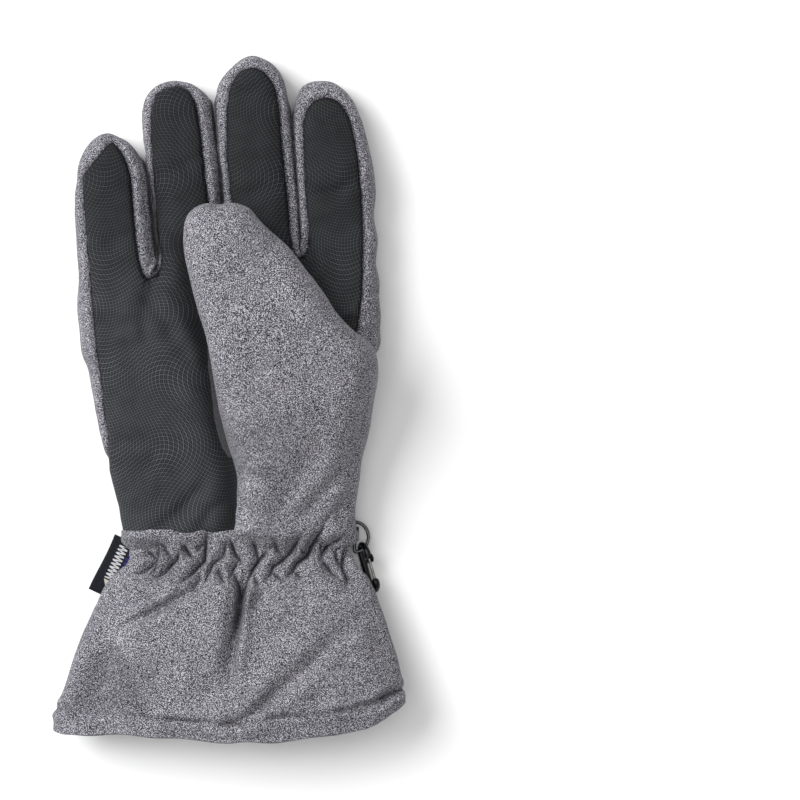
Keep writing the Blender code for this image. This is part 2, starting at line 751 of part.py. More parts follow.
def build_hook():
    """The hook's loop, left open on its outer side for the gate, with cheeks that hold the gate's pin."""
    half, reach = HOOK_HALF_WIDTH, HOOK_HALF_LENGTH - HOOK_HALF_WIDTH
    nose = [(GATE_END + GATE_CLEARANCE, half)]
    bottom = circle((reach, 0.0), half, 9, math.pi / 2, -math.pi)
    top = circle((-reach, 0.0), half, 9, -math.pi / 2, -math.pi)
    path = [(x, y, 0.0) for x, y in (*nose, *bottom, *top, (GATE_PIVOT - 0.6, half))]
    hook = wire("hook", path, HOOK_WIRE, False)
    pivot = (GATE_PIVOT, half, 0.0)
    boolean(hook, cylinder(CHEEK_RADIUS, CHEEK_HALF_THICKNESS, pivot), "UNION")
    slot_low = (GATE_PIVOT - GATE_EYE - 0.25, half - 4, -CHEEK_SLOT_HALF)
    slot_high = (GATE_PIVOT + 6, half + 4, CHEEK_SLOT_HALF)
    boolean(hook, box(slot_low, slot_high), "DIFFERENCE")
    boolean(hook, cylinder(PIN_RADIUS + PIN_CLEARANCE, 4.0, pivot), "DIFFERENCE")
    publish(in_hook(hook), "snap_hook", "black_plastic")

    gate_bar = [(GATE_PIVOT + 0.7, half, 0.0), (GATE_END, half, 0.0)]
    gate = wire("gate", gate_bar, GATE_WIRE, False)
    boolean(gate, cylinder(GATE_EYE, CHEEK_SLOT_HALF - GATE_CLEARANCE, pivot), "UNION")
    boolean(gate, cylinder(PIN_RADIUS + PIN_CLEARANCE, 4.0, pivot), "DIFFERENCE")
    publish(in_hook(gate), "hook_gate", "black_plastic")
    pin = cylinder(PIN_RADIUS, CHEEK_HALF_THICKNESS, pivot)
    publish(in_hook(pin), "gate_pin", "black_metal")


def main():
    clear_scene()
    build_hand()
    for name in FINGERS:
        build_finger(name)
    build_thumb()
    build_wrist_and_cuff()
    build_label()
    build_tab()
    build_d_ring()
    build_hook()
    for leftover in list(helpers.objects):
        bpy.data.objects.remove(leftover)


main()
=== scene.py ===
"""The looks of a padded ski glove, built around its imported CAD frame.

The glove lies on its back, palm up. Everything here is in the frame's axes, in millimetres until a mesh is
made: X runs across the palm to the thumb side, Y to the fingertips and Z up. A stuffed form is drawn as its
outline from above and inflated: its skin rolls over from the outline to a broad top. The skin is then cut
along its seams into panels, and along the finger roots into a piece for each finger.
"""

import json
import math

import bpy
import numpy as np
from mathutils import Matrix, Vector


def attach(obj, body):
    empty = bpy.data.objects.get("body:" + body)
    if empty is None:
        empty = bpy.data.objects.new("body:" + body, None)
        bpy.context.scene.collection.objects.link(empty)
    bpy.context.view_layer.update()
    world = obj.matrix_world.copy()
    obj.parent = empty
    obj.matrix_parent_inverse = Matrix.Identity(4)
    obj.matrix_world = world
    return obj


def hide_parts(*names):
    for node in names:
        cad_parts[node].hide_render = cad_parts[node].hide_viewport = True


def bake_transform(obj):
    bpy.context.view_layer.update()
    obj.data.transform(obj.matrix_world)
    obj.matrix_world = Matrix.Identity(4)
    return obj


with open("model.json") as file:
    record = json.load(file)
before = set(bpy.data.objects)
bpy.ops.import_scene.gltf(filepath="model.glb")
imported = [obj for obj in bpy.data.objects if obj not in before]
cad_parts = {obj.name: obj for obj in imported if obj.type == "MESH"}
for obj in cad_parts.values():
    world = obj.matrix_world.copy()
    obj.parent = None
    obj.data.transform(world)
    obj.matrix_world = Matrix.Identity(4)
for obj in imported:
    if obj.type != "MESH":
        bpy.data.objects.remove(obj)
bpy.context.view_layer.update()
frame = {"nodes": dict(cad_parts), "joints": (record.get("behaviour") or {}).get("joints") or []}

MM = 0.001
GRID = 0.85
NOISE_CELLS = 32

# Fingers: left side from the root up, rounded tip, then right side down to the root; x, y.
FINGER_OUTLINES = {
    "little": (
        (-58.5, 16), (-62.6, 30), (-63.8, 45), (-64.8, 60), (-65.2, 75), (-64.9, 88), (-63.4, 100.5),
        (-59.4, 107.6), (-54.2, 111.4), (-49.4, 110.6), (-43.4, 107.2), (-38.9, 102), (-36.2, 95),
        (-34.8, 84), (-33.2, 72), (-31.8, 58), (-31.5, 42), (-33, 22),
    ),
    "ring": (
        (-29, 22), (-29.6, 42), (-30.3, 57.5), (-32, 75), (-33.8, 88), (-35.8, 103), (-37.1, 115),
        (-36.7, 122.8), (-34.2, 129.2), (-29.6, 132.6), (-23.9, 133.8), (-18.6, 132.9), (-13.4, 130.2),
        (-9.6, 126.6), (-7.9, 120.5), (-6.6, 108), (-4.9, 92), (-3.9, 76), (-3.2, 62), (-3.5, 24),
    ),
    "middle": (
        (-0.5, 24), (-1.6, 62), (-2.4, 76), (-3.6, 92), (-5.4, 108), (-6.6, 121), (-6.2, 130.6),
        (-3.6, 135.4), (0.2, 139.2), (4.4, 142.8), (8.6, 144.2), (12.9, 143), (18, 139.6), (21.6, 134.4),
        (23.2, 127), (24.6, 115), (26.4, 97), (27.8, 80), (28.6, 64), (29, 24),
    ),
    "index": (
        (31, 24), (29.8, 64), (28.9, 80), (27.6, 97), (26.6, 112), (26.7, 122), (28.6, 129.6), (32.9, 133),
        (37.6, 133.7), (43, 132.7), (48.2, 129), (52, 123), (54.9, 115), (57.6, 106), (59.9, 95.5),
        (60.7, 86), (59.6, 76.5), (61.2, 66.5), (60.4, 57), (61.6, 50), (60.2, 41), (61.4, 32), (58, 20),
    ),
}
PALM_OUTLINE = (
    (-41, -64), (-44.4, -57), (-47.8, -44), (-51.6, -30), (-55.7, -9), (-59.3, 10), (-61.6, 28),
    (-62.6, 42), (-57, 49), (-44, 52.5), (-30.9, 54.5), (-17, 60), (-2.7, 66), (13, 65), (29.2, 62),
    (44, 58), (57, 51), (60.8, 43.5), (61.4, 35.5), (60.2, 29.5), (60.8, 23.5), (59.6, 18.5), (59, 11),
    (57.6, -1), (55.4, -13), (53, -24), (51.6, -37), (50.4, -46), (49.2, -55), (46, -64),
)
HAND_END = -62.5
# Half height at the tip and at the root, and how far in from its outline each form rolls over.
FINGER_HALF_HEIGHT = (9.6, 11.9)
FINGER_ROLL = 12.6
PALM_HALF_HEIGHT = 12.6
PALM_ROLL = 17.0
ROOT_JOIN = 5.0
TIP_Y = {"little": 111.5, "ring": 133.8, "middle": 144.3, "index": 133.8}

THUMB_OUTLINE = (
    (2, -60), (1.4, -50), (1.8, -43), (3, -36), (1.6, -27), (-1.2, -18.6), (-3.5, -8.3), (-6, 5.7),
    (-8.8, 22.2), (-13.1, 37.4), (-17, 52.6), (-18.6, 61.4), (-18.9, 70.4), (-17.3, 75.6), (-13.6, 79.2),
    (-8.8, 81), (-4.4, 80.2), (0, 80.8), (5.6, 80.2), (9.8, 78), (13, 74), (17.4, 69.6), (26, 60.8),
    (32, 53.4), (38.2, 45), (44.4, 35.6), (52.2, 27.6), (58.6, 23.2), (61.4, 17), (61.9, 9), (60, -2),
    (58, -12.8), (55, -24), (53.4, -36), (52, -45.5), (50.8, -54), (48, -62), (26, -66),
)
THUMB_HINGE = (19.4, 16.0)
THUMB_TOWARDS = (-0.3697, 0.9291)
# Along the thumb from its hinge: top, edge and underside heights.
THUMB_HEIGHTS = (
    (-78, 26, 13, 0.6), (-64, 29, 13.6, 0.6), (-40, 39.6, 16, 2), (-22, 48.6, 22, 8), (-8, 52.4, 31, 18),
    (0, 53.4, 37, 26), (8, 53.8, 40.6, 29.6), (45, 53.6, 41.2, 30), (71, 52.6, 41.2, 30.6),
)
THUMB_ROLL = 15.0

# The dark grip panel from above, clockwise from the wrist, up the outer side and round each finger.
GRIP_OUTLINE = (
    (-52, -62), (-56.5, -42), (-53.4, -31), (-52, -21.6), (-54, -0.6), (-56.5, 20.4), (-58.4, 41.4),
    (-60.5, 62.4), (-62.2, 83.4), (-62.8, 92.8), (-56.8, 100.2), (-50.6, 107.2), (-47.8, 106.6),
    (-44.6, 101.9), (-41.6, 93.1), (-39.9, 76), (-38.5, 62.2), (-37, 54.4), (-34.6, 50.6), (-31.2, 52.4),
    (-29.4, 57.8), (-30.8, 67), (-32.3, 80), (-33.6, 97.5), (-34.4, 115.2), (-33.9, 124), (-31.2, 129),
    (-24.4, 132.2), (-19, 131.2), (-15.5, 126.7), (-13.2, 119.6), (-11, 101.9), (-9.6, 88.7), (-8, 76),
    (-6, 66), (-3.4, 62.5), (-1.6, 66), (-0.7, 76), (-0.9, 84), (-2.2, 97.5), (-2.6, 115.2), (-2.2, 124),
    (-0.4, 132), (2.4, 137), (7.6, 139.1), (12.9, 137.8), (17.3, 133.8), (19.5, 128), (20.9, 119),
    (23, 97.5), (24.4, 84.3), (25.2, 75.4), (26, 66.4), (27.9, 59.9), (30.6, 61.2), (31.9, 66),
    (31.4, 75.4), (30.3, 88.7), (29.6, 106.3), (29.8, 115.2), (31.2, 120.4), (34.4, 124.4), (38.8, 126.2),
    (43.8, 125.2), (48.2, 121.2), (51.3, 113.4), (53.5, 101.9), (54.9, 88.7), (55.7, 75.4), (55.8, 58),
    (55.3, 42.9), (53.9, 34), (52.6, 27.6), (47, 24), (30, 18), (22, -10), (14, -40), (10, -62),
)
GRIP_LOWEST = 8.5
GRIP_PITCH = 1.5
SEAM_DEPTH = 1.5
SEAM_WIDTH = 1.0

# Where each finger's piece starts: how far from the finger's joint towards the palm.
FINGER_CUT = {"little": 14.5, "ring": 13.0, "middle": 14.5, "index": 17.0}
BLEND_REACH = 7.6

# Wrist and gauntlet: y, left x, right x, half height.
TUBE = (
    (-48, -46.4, 51, 13.4), (-57.5, -42.8, 49, 12.9), (-62.5, -41.2, 48.6, 11.8), (-67.4, -40.2, 50, 12.2),
    (-71.7, -42.8, 53, 12.4), (-75, -48, 57, 13), (-80.6, -52.6, 60, 14.2), (-88, -57, 62.8, 15.4),
    (-97, -61.2, 66.2, 16.6), (-108, -65.2, 70, 17.7), (-120, -69.4, 73.4, 18.6), (-131, -73.8, 74.4, 19),
    (-145, -75.2, 74.2, 18),
)
TUBE_POWER = 2.25
JOIN_START = -54.6
# How much higher the wrist's cloth starts on the thumb, how many of its rows are fitted to the hand, and the
# reach each way from the wrist joint's axis that is handed to bend().
THUMB_JOIN_LIFT = 7.0
JOIN_ROWS = 20
WRIST_REACH = (9.9, 9.8)
WRIST_END = -76.0
CUFF_BEND = -96.0
# How far the cuff's side is drawn in beside the hook, and how deep in the hem and the fleece lie.
HOOK_HOLLOW = 3.2
HEM_DEPTH = 4.0
FLEECE_DEPTH = 8.0
HEM_LINE = (
    (-76, -129.4), (-55, -131), (-31.6, -132.2), (-14.3, -133.6), (-4.1, -134.8), (6.1, -134.4),
    (17.3, -132.6), (31.5, -131.2), (46.8, -129.4), (57, -127.2), (63, -125), (76, -120.2),
)
HEM_EDGE = (
    (-76, -138.4), (-71, -139.6), (-66, -139), (-55, -139.6), (-39.7, -139.6), (-24.4, -140.1),
    (-9.2, -141.7), (0, -142.9), (9.2, -142), (17.3, -141.8), (29.5, -141.3), (41, -139.8), (52.9, -137.4),
    (58, -136.9), (63, -134.2), (70, -128.8), (76, -125.4),
)
ELASTIC_ROWS = (-62.8, -70.4)
PLEAT_PITCH = 9.6
# Creases of the shirred wrist on the palm side: points along each, then its depth.
WRIST_CREASES = (
    (((-37.6, -63.2), (-33.6, -67), (-31.6, -67.6)), 0.9),
    (((-31.6, -67.4), (-34.5, -70.2), (-39.4, -73.8)), 1),
    (((-29.9, -59.4), (-31.1, -64.3), (-32, -68), (-32.3, -75.4)), 0.75),
    (((-29.4, -60.6), (-26.5, -65.2), (-23.2, -68.4)), 0.8),
    (((-20, -62.6), (-22.8, -67.4), (-26.5, -71.1), (-31.2, -75)), 1.1),
    (((-20.2, -60.6), (-17.5, -64.3), (-15.6, -66.8)), 1.1),
    (((-9.6, -54.6), (-10.4, -60), (-11.4, -67.4), (-14.8, -71.1), (-20.4, -77.4)), 1.15),
    (((-15, -64.4), (-10.6, -59)), 0.8),
    (((-13.2, -71.6), (-12.6, -75.4), (-15.6, -80.2)), 0.8),
    (((-0.6, -58.8), (-3.2, -65.8), (-7.4, -69.2), (-10.6, -77.4)), 0.95),
    (((-5, -71), (-2.4, -77.6)), 0.9),
    (((-0.2, -58.8), (2.5, -64.9), (5.2, -69.4)), 1.15),
    (((3.4, -68), (0.9, -71.7), (-0.6, -75.6)), 0.9),
    (((0.8, -71), (3.5, -77), (4.8, -82)), 0.95),
    (((17.4, -62), (12.3, -67.4), (10.2, -70.5), (6.8, -76.6), (5.2, -82)), 1.2),
    (((9.4, -59.4), (11.1, -63.7), (12.6, -68)), 1),
    (((17.2, -57.4), (20.3, -63.1), (23, -66.8)), 0.9),
    (((30.2, -56.8), (25.9, -63.1), (22, -67.4), (18.2, -70), (16.6, -73.6), (12.8, -76.8)), 1.15),
    (((9.2, -72.6), (12, -78.4)), 0.8),
    (((17, -71.6), (22.2, -76.4)), 0.9),
    (
        ((41, -48.4), (38.2, -55.7), (35.1, -61.8), (32.4, -66), (28, -68.6), (25.9, -71.7), (22.6, -75.8)),
        1.25,
    ),
    (((26.6, -71), (30.2, -75.2)), 0.8),
    (((45.6, -57), (41.9, -62.5), (38.6, -66.6)), 1.1),
    (((36.4, -57.2), (38.8, -62.5), (39.4, -65.8), (37, -68.2)), 0.75),
    (((38.4, -67.4), (41.9, -71.1), (44.8, -76.2)), 0.85),
    (((29.4, -63), (32.9, -66.2)), 0.8),
    (((47.6, -61), (46.2, -66.8), (48.4, -73)), 0.8),
)

HEATHER_DARK = (0.008, 0.0075, 0.012)
HEATHER_MID = (0.098, 0.096, 0.113)
HEATHER_LIGHT = (0.630, 0.622, 0.664)
WEBBING_PITCH = 0.0009

# Woven label: its upper outer corner, its directions along and across, its length, how far it reaches, the
# height of its middle and half its thickness.
LABEL_CORNER = (-48.9, -56.9)
LABEL_ALONG = (-0.4255, -0.905)
LABEL_ACROSS = (0.905, -0.4255)
LABEL_LENGTH = 25.4
LABEL_REACH = 12.0
LABEL_MIDDLE = 12.9
LABEL_THICK = 0.62

# D-ring: its bar's middle, its depth, half length and wire.
RING_BAR = (51.6, -58.4, 4.6)
RING_DEPTH = 5.9
RING_HALF = 6.4
RING_WIRE = 0.72
# Hook: its direction, its roll round that and its size, then where it hangs on the ring. Below its middle it
# is a little shorter than in the frame. Then where its gate starts and ends along it.
HOOK_TOWARDS = (0.27, -0.963, 0.0)
HOOK_ROLL = math.radians(68)
HOOK_HALF_LENGTH = 11.0
HOOK_HALF_WIDTH = 3.7
HOOK_WIRE = 1.42
HOOK_LOWER = 0.8
HOOK_LINK = math.radians(-55)
LINK_DEPTH = 6.0
HOOK_FROM_LINK = HOOK_HALF_LENGTH - 2.6
HOOK_SHIFT = (0.35, -0.35, 0.5)
GATE_PIVOT = -4.6
GATE_END = 6.6


# --- numbers ---


def smooth_outline(points, steps=5, closed=True):
    """Points on a smooth curve through the given ones."""
    p = np.array(points, float)
    if closed:
        before, after, later = np.roll(p, 1, 0), np.roll(p, -1, 0), np.roll(p, -2, 0)
    else:
        ends = np.vstack((2 * p[0] - p[1], p, 2 * p[-1] - p[-2]))
        before, p, after, later = ends[:-3], ends[1:-2], ends[2:-1], ends[3:]
    t = np.linspace(0, 1, steps, endpoint=False)[None, :, None]
    a, b, c, d = (q[:, None, :] for q in (before, p, after, later))
    curve = b + 0.5 * t * (c - a + t * (2 * a - 5 * b + 4 * c - d + t * (3 * (b - c) + d - a)))
    return curve.reshape(-1, p.shape[1])


def inside_distance(x, y, outline):
    """Distance of each point from a closed outline, positive inside it."""
    nearest = np.full(x.shape, 1e9)
    inside = np.zeros(x.shape, bool)
    for (ax, ay), (bx, by) in zip(outline, np.roll(outline, -1, 0)):
        ex, ey = bx - ax, by - ay
        t = np.clip(((x - ax) * ex + (y - ay) * ey) / (ex * ex + ey * ey), 0, 1)
        nearest = np.minimum(nearest, (x - ax - t * ex) ** 2 + (y - ay - t * ey) ** 2)
        crosses = (ay > y) != (by > y)
        inside ^= crosses & (x < ax + (y - ay) * ex / (ey if ey else 1e-9))
    return np.where(inside, 1, -1) * np.sqrt(nearest)


def inside_curve(x, y, points):
    """Distance of each point from the smooth closed curve through the given ones, positive inside it."""
    return inside_distance(x, y, smooth_outline(points))


def smooth_min(a, b, reach):
    """The lesser of two fields, blended where they are within reach of each other."""
    near = np.clip(1 - np.abs(a - b) / reach, 0, 1)
    return np.minimum(a, b) - near * near * reach / 4


def bell(x, width):
    """1 at 0, falling off smoothly to both sides."""
    return np.exp(-((x / width) ** 2))


def ease(x, low, high):
    """0 up to low, 1 from high on, and smooth between them."""
    t = np.clip((x - low) / (high - low), 0, 1)
    return t * t * (3 - 2 * t)


def noise(points, size, seed):
    """Smooth noise from -1 to 1 whose bumps are about size across."""
    lattice = np.random.default_rng(seed).uniform(-1, 1, (NOISE_CELLS,) * 3)
    q = np.asarray(points, float) / size
    cell = np.floor(q).astype(int)
    t = q - cell
    t = t * t * (3 - 2 * t)
    total = np.zeros(len(q))
    for corner in np.ndindex(2, 2, 2):
        weight = np.abs(np.subtract(1, corner) - t).prod(1)
        total += weight * lattice[tuple((cell + corner).T % NOISE_CELLS)]
    return total


def path_distance(x, y, path):
    """Distance of each point from an open path, its side of it, and how far along it is from 0 to 1."""
    path = np.array(path, float)
    lengths = np.hypot(*np.diff(path, axis=0).T)
    run = np.concatenate(([0], np.cumsum(lengths)))
    nearest = np.full(x.shape, 1e9)
    along = np.zeros(x.shape)
    side = np.zeros(x.shape)
    for i, ((ax, ay), (bx, by)) in enumerate(zip(path, path[1:])):
        ex, ey = bx - ax, by - ay
        t = np.clip(((x - ax) * ex + (y - ay) * ey) / (ex * ex + ey * ey), 0, 1)
        d = np.hypot(x - ax - t * ex, y - ay - t * ey)
        closer = d < nearest
        nearest = np.where(closer, d, nearest)
        along = np.where(closer, (run[i] + t * lengths[i]) / run[-1], along)
        side = np.where(closer, np.sign((x - ax) * ey - (y - ay) * ex), side)
    return nearest, side, along


def fold(x, y, path, depth, width, lean=0.0):
    """A fold's height along a path: a valley with a swelling at each side, fading out at both ends.
    lean makes one side of the valley steeper."""
    d, side, along = path_distance(x, y, path)
    fade = np.sin(np.pi * np.clip(along, 0.02, 0.98)) ** 0.6
    w = width * (1 + lean * side)
    valley = -bell(d, w)
    swelling = 0.45 * bell(d - 2.1 * w, 1.3 * w)
    return depth * fade * (valley + swelling)


def folds(x, y, table):
    """The height of all the folds of a table together."""
    return sum(fold(x, y, *one) for one in table)


# --- meshes ---


def surface(field, low, step):
    """Vertices and quads of the surface where the field is 0. Inside is below 0."""
    cells = tuple(n - 1 for n in field.shape)
    total = np.zeros((*cells, 3))
    count = np.zeros(cells)
    rings = []
    for axis in range(3):
        one = np.moveaxis(field, axis, 0)
        crossing = (one[:-1] < 0) != (one[1:] < 0)
        index = np.argwhere(crossing)
        f0, f1 = one[:-1][crossing], one[1:][crossing]
        t = f0 / (f0 - f1)
        index = np.insert(index[:, 1:], axis, index[:, 0], axis=1)
        at = index.astype(float)
        at[:, axis] += t
        others = [a for a in range(3) if a != axis]
        ring = []
        for da, db in ((0, 0), (1, 0), (1, 1), (0, 1)):
            cell = index.copy()
            cell[:, others[0]] -= da
            cell[:, others[1]] -= db
            np.add.at(total, tuple(cell.T), at)
            np.add.at(count, tuple(cell.T), 1)
            ring.append(np.ravel_multi_index(tuple(cell.T), cells))
        ring = np.array(ring).T
        flip = (f0 < 0) == (axis == 1)
        ring[flip] = ring[flip][:, ::-1]
        rings.append(ring)
    used = count > 0
    number = np.full(cells, -1)
    number[used] = np.arange(used.sum())
    verts = total[used] / count[used][:, None] * step + np.array(low)
    return verts, number.ravel()[np.vstack(rings)]


def relax(verts, faces, passes):
    """Evens out a closed mesh by moving each vertex towards its neighbours' middle."""
    a, b = faces.ravel(), np.roll(faces, -1, 1).ravel()
    degree = np.bincount(a, minlength=len(verts))[:, None]
    for _ in range(passes):
        total = np.zeros_like(verts)
        np.add.at(total, a, verts[b])
        verts = verts + 0.5 * (total / degree - verts)
    return verts


def normals_of(verts, faces):
    """Unit vertex normals of a mesh of triangles or quads."""
    across = verts[faces[:, 2]] - verts[faces[:, 0]]
    other = verts[faces[:, -1]] - verts[faces[:, 1]]
    face = np.cross(across, other)
    total = np.zeros_like(verts)
    for column in faces.T:
        np.add.at(total, column, face)
    return total / np.maximum(np.linalg.norm(total, axis=1), 1e-12)[:, None]


def triangles(quads):
    return np.vstack((quads[:, [0, 1, 2]], quads[:, [0, 2, 3]]))


def split(data, tris, column):
    """Cuts a triangle mesh where a column of its vertex data is 0. Returns the data, the triangles where the
    column is above 0, and those where it is below."""
    g = np.where(data[:, column] == 0, 1e-9, data[:, column])
    above = g[tris] > 0
    n = above.sum(1)
    keep_up, keep_down = tris[n == 3], tris[n == 0]
    mixed, up = tris[(n == 1) | (n == 2)], above[(n == 1) | (n == 2)]
    lone_up = up.sum(1) == 1
    first = np.where(lone_up, up.argmax(1), (~up).argmax(1))
    rows = np.arange(len(mixed))
    v0, v1, v2 = (mixed[rows, (first + k) % 3] for k in range(3))
    pairs = np.sort(np.vstack((np.c_[v0, v1], np.c_[v0, v2])), axis=1)
    unique, inverse = np.unique(pairs, axis=0, return_inverse=True)
    a, b = unique.T
    t = (g[a] / (g[a] - g[b]))[:, None]
    data = np.vstack((data, data[a] + t * (data[b] - data[a])))
    new = inverse.ravel() + len(g)
    p1, p2 = new[: len(mixed)], new[len(mixed) :]
    tip = np.c_[v0, p1, p2]
    rest = np.vstack((np.c_[p1, v1, v2], np.c_[p1, v2, p2]))
    twice = np.tile(lone_up, 2)
    return (
        data,
        np.vstack((keep_up, tip[lone_up], rest[~twice])),
        np.vstack((keep_down, tip[~lone_up], rest[twice])),
    )


def joint(name):
    """A joint's place in millimetres, and the level direction square to its axis."""
    found = next(j for j in frame["joints"] if j["name"] == name)
    ax, ay, _ = found["axis"]
    return np.array(found["pos_m"]) / MM, np.array((-ay, ax, 0.0))


def bend(piece, joint_name, body, moved, before=BLEND_REACH, after=BLEND_REACH):
    """Bakes a piece's placement into its mesh. joint_name, body, moved, before and after are not used."""
    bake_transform(piece)


def make_mesh(name, verts, faces, normals, material, slot, painted_shade=None):
    """A smooth shaded object from vertices in millimetres. The last argument is painted shade: it darkens
    the cloth's colour, from 0 to 1.
    """
    used, inverse = np.unique(faces, return_inverse=True)
    mesh = bpy.data.meshes.new(name)
    faces = inverse.reshape(faces.shape)
    mesh.from_pydata((verts[used] * MM).tolist(), [], faces.tolist())
    mesh.polygons.foreach_set("use_smooth", np.ones(len(faces), bool))
    if normals is not None:
        mesh.normals_split_custom_set_from_vertices(normals[used].tolist())
    if painted_shade is not None:
        layer = mesh.attributes.new("painted_shade", "FLOAT", "POINT")
        layer.data.foreach_set("value", np.clip(painted_shade[used], 0, 1).astype(np.float32))
    obj = bpy.data.objects.new(name, mesh)
    bpy.context.scene.collection.objects.link(obj)
    obj.data.materials.append(material)
    return obj


# --- materials ---


class Nodes:
    """Builds one material's nodes. A number, colour or socket can feed any input."""

    def __init__(self, name, roughness, **fixed):
        self.material = bpy.data.materials.new(name)
        self.material.use_nodes = True
        self.tree = self.material.node_tree
        self.shader = self.tree.nodes["Principled BSDF"]
        self.shader.inputs["Roughness"].default_value = roughness
        for key, value in fixed.items():
            self.shader.inputs[key.replace("_", " ")].default_value = value
        place = self.tree.nodes.new("ShaderNodeTexCoord").outputs["Object"]
        # Noise is weaker in the planes through its lattice, and the glove's underside would lie in one.
        self.place = self.add("ShaderNodeVectorMath", i0=place, i1=(0.00013, 0.00021, 0.00019))

    def add(self, kind, out=0, settings=None, **inputs):
        node = self.tree.nodes.new(kind)
        for key, value in (settings or {}).items():
            setattr(node, key, value)
        for key, value in inputs.items():
            self.feed(node.inputs[int(key[1:]) if key[1:].isdigit() else key], value)
        return node.outputs[out]

    def feed(self, socket, value):
        if isinstance(value, bpy.types.NodeSocket):
            self.tree.links.new(value, socket)
        else:
            socket.default_value = value

    def math(self, operation, a, b=0.0, c=0.0):
        return self.add("ShaderNodeMath", settings={"operation": operation}, i0=a, i1=b, i2=c)

    def noise(self, scale, detail=2.0, roughness=0.5):
        settings = {"Scale": scale, "Detail": detail, "Roughness": roughness}
        return self.add("ShaderNodeTexNoise", Vector=self.place, **settings)

    def ramp(self, factor, stops):
        out = self.add("ShaderNodeValToRGB", Fac=factor)
        elements = out.node.color_ramp.elements
        while len(elements) < len(stops):
            elements.new(0.5)
        for element, (position, colour) in zip(elements, stops):
            element.position = position
            element.color = (*colour, 1.0)
        return out

    def mix(self, factor, a, b, blend="MIX"):
        settings = {"data_type": "RGBA", "blend_type": blend}
        return self.add("ShaderNodeMix", out=2, settings=settings, i0=factor, i6=a, i7=b)

    def dot(self, direction):
        """How far each point lies along a direction, in millimetres."""
        settings = {"operation": "DOT_PRODUCT"}
        along = tuple(1000.0 * d for d in direction)
        return self.add("ShaderNodeVectorMath", out=1, settings=settings, i0=self.place, i1=along)

    def colour(self, socket, crease_shade=None):
        if crease_shade is not None:
            # The mesh's shade attribute paints shade into the colour: where it is 1, the colour is
            # multiplied by crease_shade.
            painted_shade = self.add("ShaderNodeAttribute", out=2, settings={"attribute_name": "painted_shade"})
            socket = self.mix(painted_shade, socket, self.mix(1.0, socket, (*crease_shade, 1.0), "MULTIPLY"))
        self.feed(self.shader.inputs["Base Color"], socket)

    def bump(self, height, distance, strength):
        bump = self.add("ShaderNodeBump", Height=height, Distance=distance, Strength=strength)
        self.feed(self.shader.inputs["Normal"], bump)


def heather():
    """Grey melange softshell: light and dark fibres mixed in a fine plain weave, with a cool violet cast."""
    made = Nodes("heather_shell", 0.85, Sheen_Weight=0.08, Sheen_Roughness=0.4, Specular_IOR_Level=0.2)
    speckle = made.noise(2400.0, detail=1.5, roughness=0.6)
    grain = made.noise(4600.0, detail=1.0)
    both = made.math("MULTIPLY_ADD", grain, 0.35, made.math("MULTIPLY", speckle, 0.8))
    fibre = made.ramp(both, ((0.46, HEATHER_DARK), (0.58, HEATHER_MID), (0.69, HEATHER_LIGHT)))
    cloud = made.ramp(made.noise(48.0, detail=3.0), ((0.3, (0.77, 0.77, 0.79)), (0.7, (1.01, 1.0, 1.01))))
    # Painted shade: where the mesh's shade attribute is set, the cloth darkens towards this tint.
    made.colour(made.mix(1.0, fibre, cloud, "MULTIPLY"), crease_shade=(0.17, 0.16, 0.18))
    made.bump(both, 0.00012, 0.7)
    return made.material


def wavy_grid():
    """Dark coated palm cloth embossed with a grid of tiny squares that runs in waves. Each cell has a sunken
    ring round a small pad, between raised lines. Its colour follows these heights: painted shade in the
    sunken rings and a painted highlight on the raised lines, over a random wear tone. The cloth is darker on
    the fingers than on the palm."""
    made = Nodes("wavy_grip", 0.7, Specular_IOR_Level=0.16)
    x, y = made.dot((1, 0, 0)), made.dot((0, 1, 0))
    half = GRIP_PITCH / 2

    def across_cell(source, *waves):
        """Distance from a cell's middle, after waves: what each follows, its length, height and phase."""
        for follows, length, height, phase in waves:
            angle = made.math("MULTIPLY_ADD", follows, 2 * math.pi / length, phase)
            source = made.math("ADD", source, made.math("MULTIPLY", made.math("SINE", angle), height))
        return made.math("PINGPONG", made.math("ADD", source, 500.0), half)

    u = across_cell(x, (y, 56.0, 5.4, 0.6), (x, 43.0, 1.9, 0.0))
    v = across_cell(y, (x, 50.0, 5.0, 1.9), (y, 39.0, 1.7, 0.8))
    reach = made.math("DIVIDE", made.math("MAXIMUM", u, v), half)
    wear_and_painted_shade = made.noise(140.0, detail=3.0)
    heights = ((0.0, 0.44), (0.3, 0.38), (0.52, 0.0), (0.72, 0.04), (0.9, 1.0))
    profile = made.ramp(reach, [(at, (height,) * 3) for at, height in heights])
    # Painted shade and highlight: the relief's heights, times a random wear tone, set the cloth's colour.
    relief_shade_and_wear = made.math("MULTIPLY", profile, made.math("MULTIPLY_ADD", wear_and_painted_shade, 1.1, 0.38))
    cloth = made.ramp(relief_shade_and_wear, ((0.0, (0.0056, 0.0062, 0.0074)), (1.0, (0.084, 0.089, 0.097))))
    past_palm = made.math("DIVIDE", made.math("ADD", y, -38.0), 45.0)
    finger = made.math("MINIMUM", 1.0, made.math("MAXIMUM", 0.0, past_palm))
    cloth = made.mix(finger, cloth, made.mix(1.0, cloth, (0.54, 0.54, 0.55, 1.0), "MULTIPLY"))
    # Painted shade: where the mesh's shade attribute is set, the cloth darkens towards this tint.
    made.colour(cloth, crease_shade=(0.15, 0.15, 0.15))
    made.bump(profile, 0.00022, 0.7)
    return made.material


def fleece():
    """The lining's dark pile."""
    made = Nodes("lining_fleece", 0.95, Sheen_Weight=0.6, Sheen_Roughness=0.5)
    pile = made.noise(900.0, detail=5.0, roughness=0.7)
    made.colour(made.ramp(pile, ((0.3, (0.010, 0.010, 0.012)), (0.7, (0.045, 0.045, 0.052)))))
    made.bump(pile, 0.0006, 1.0)
    return made.material


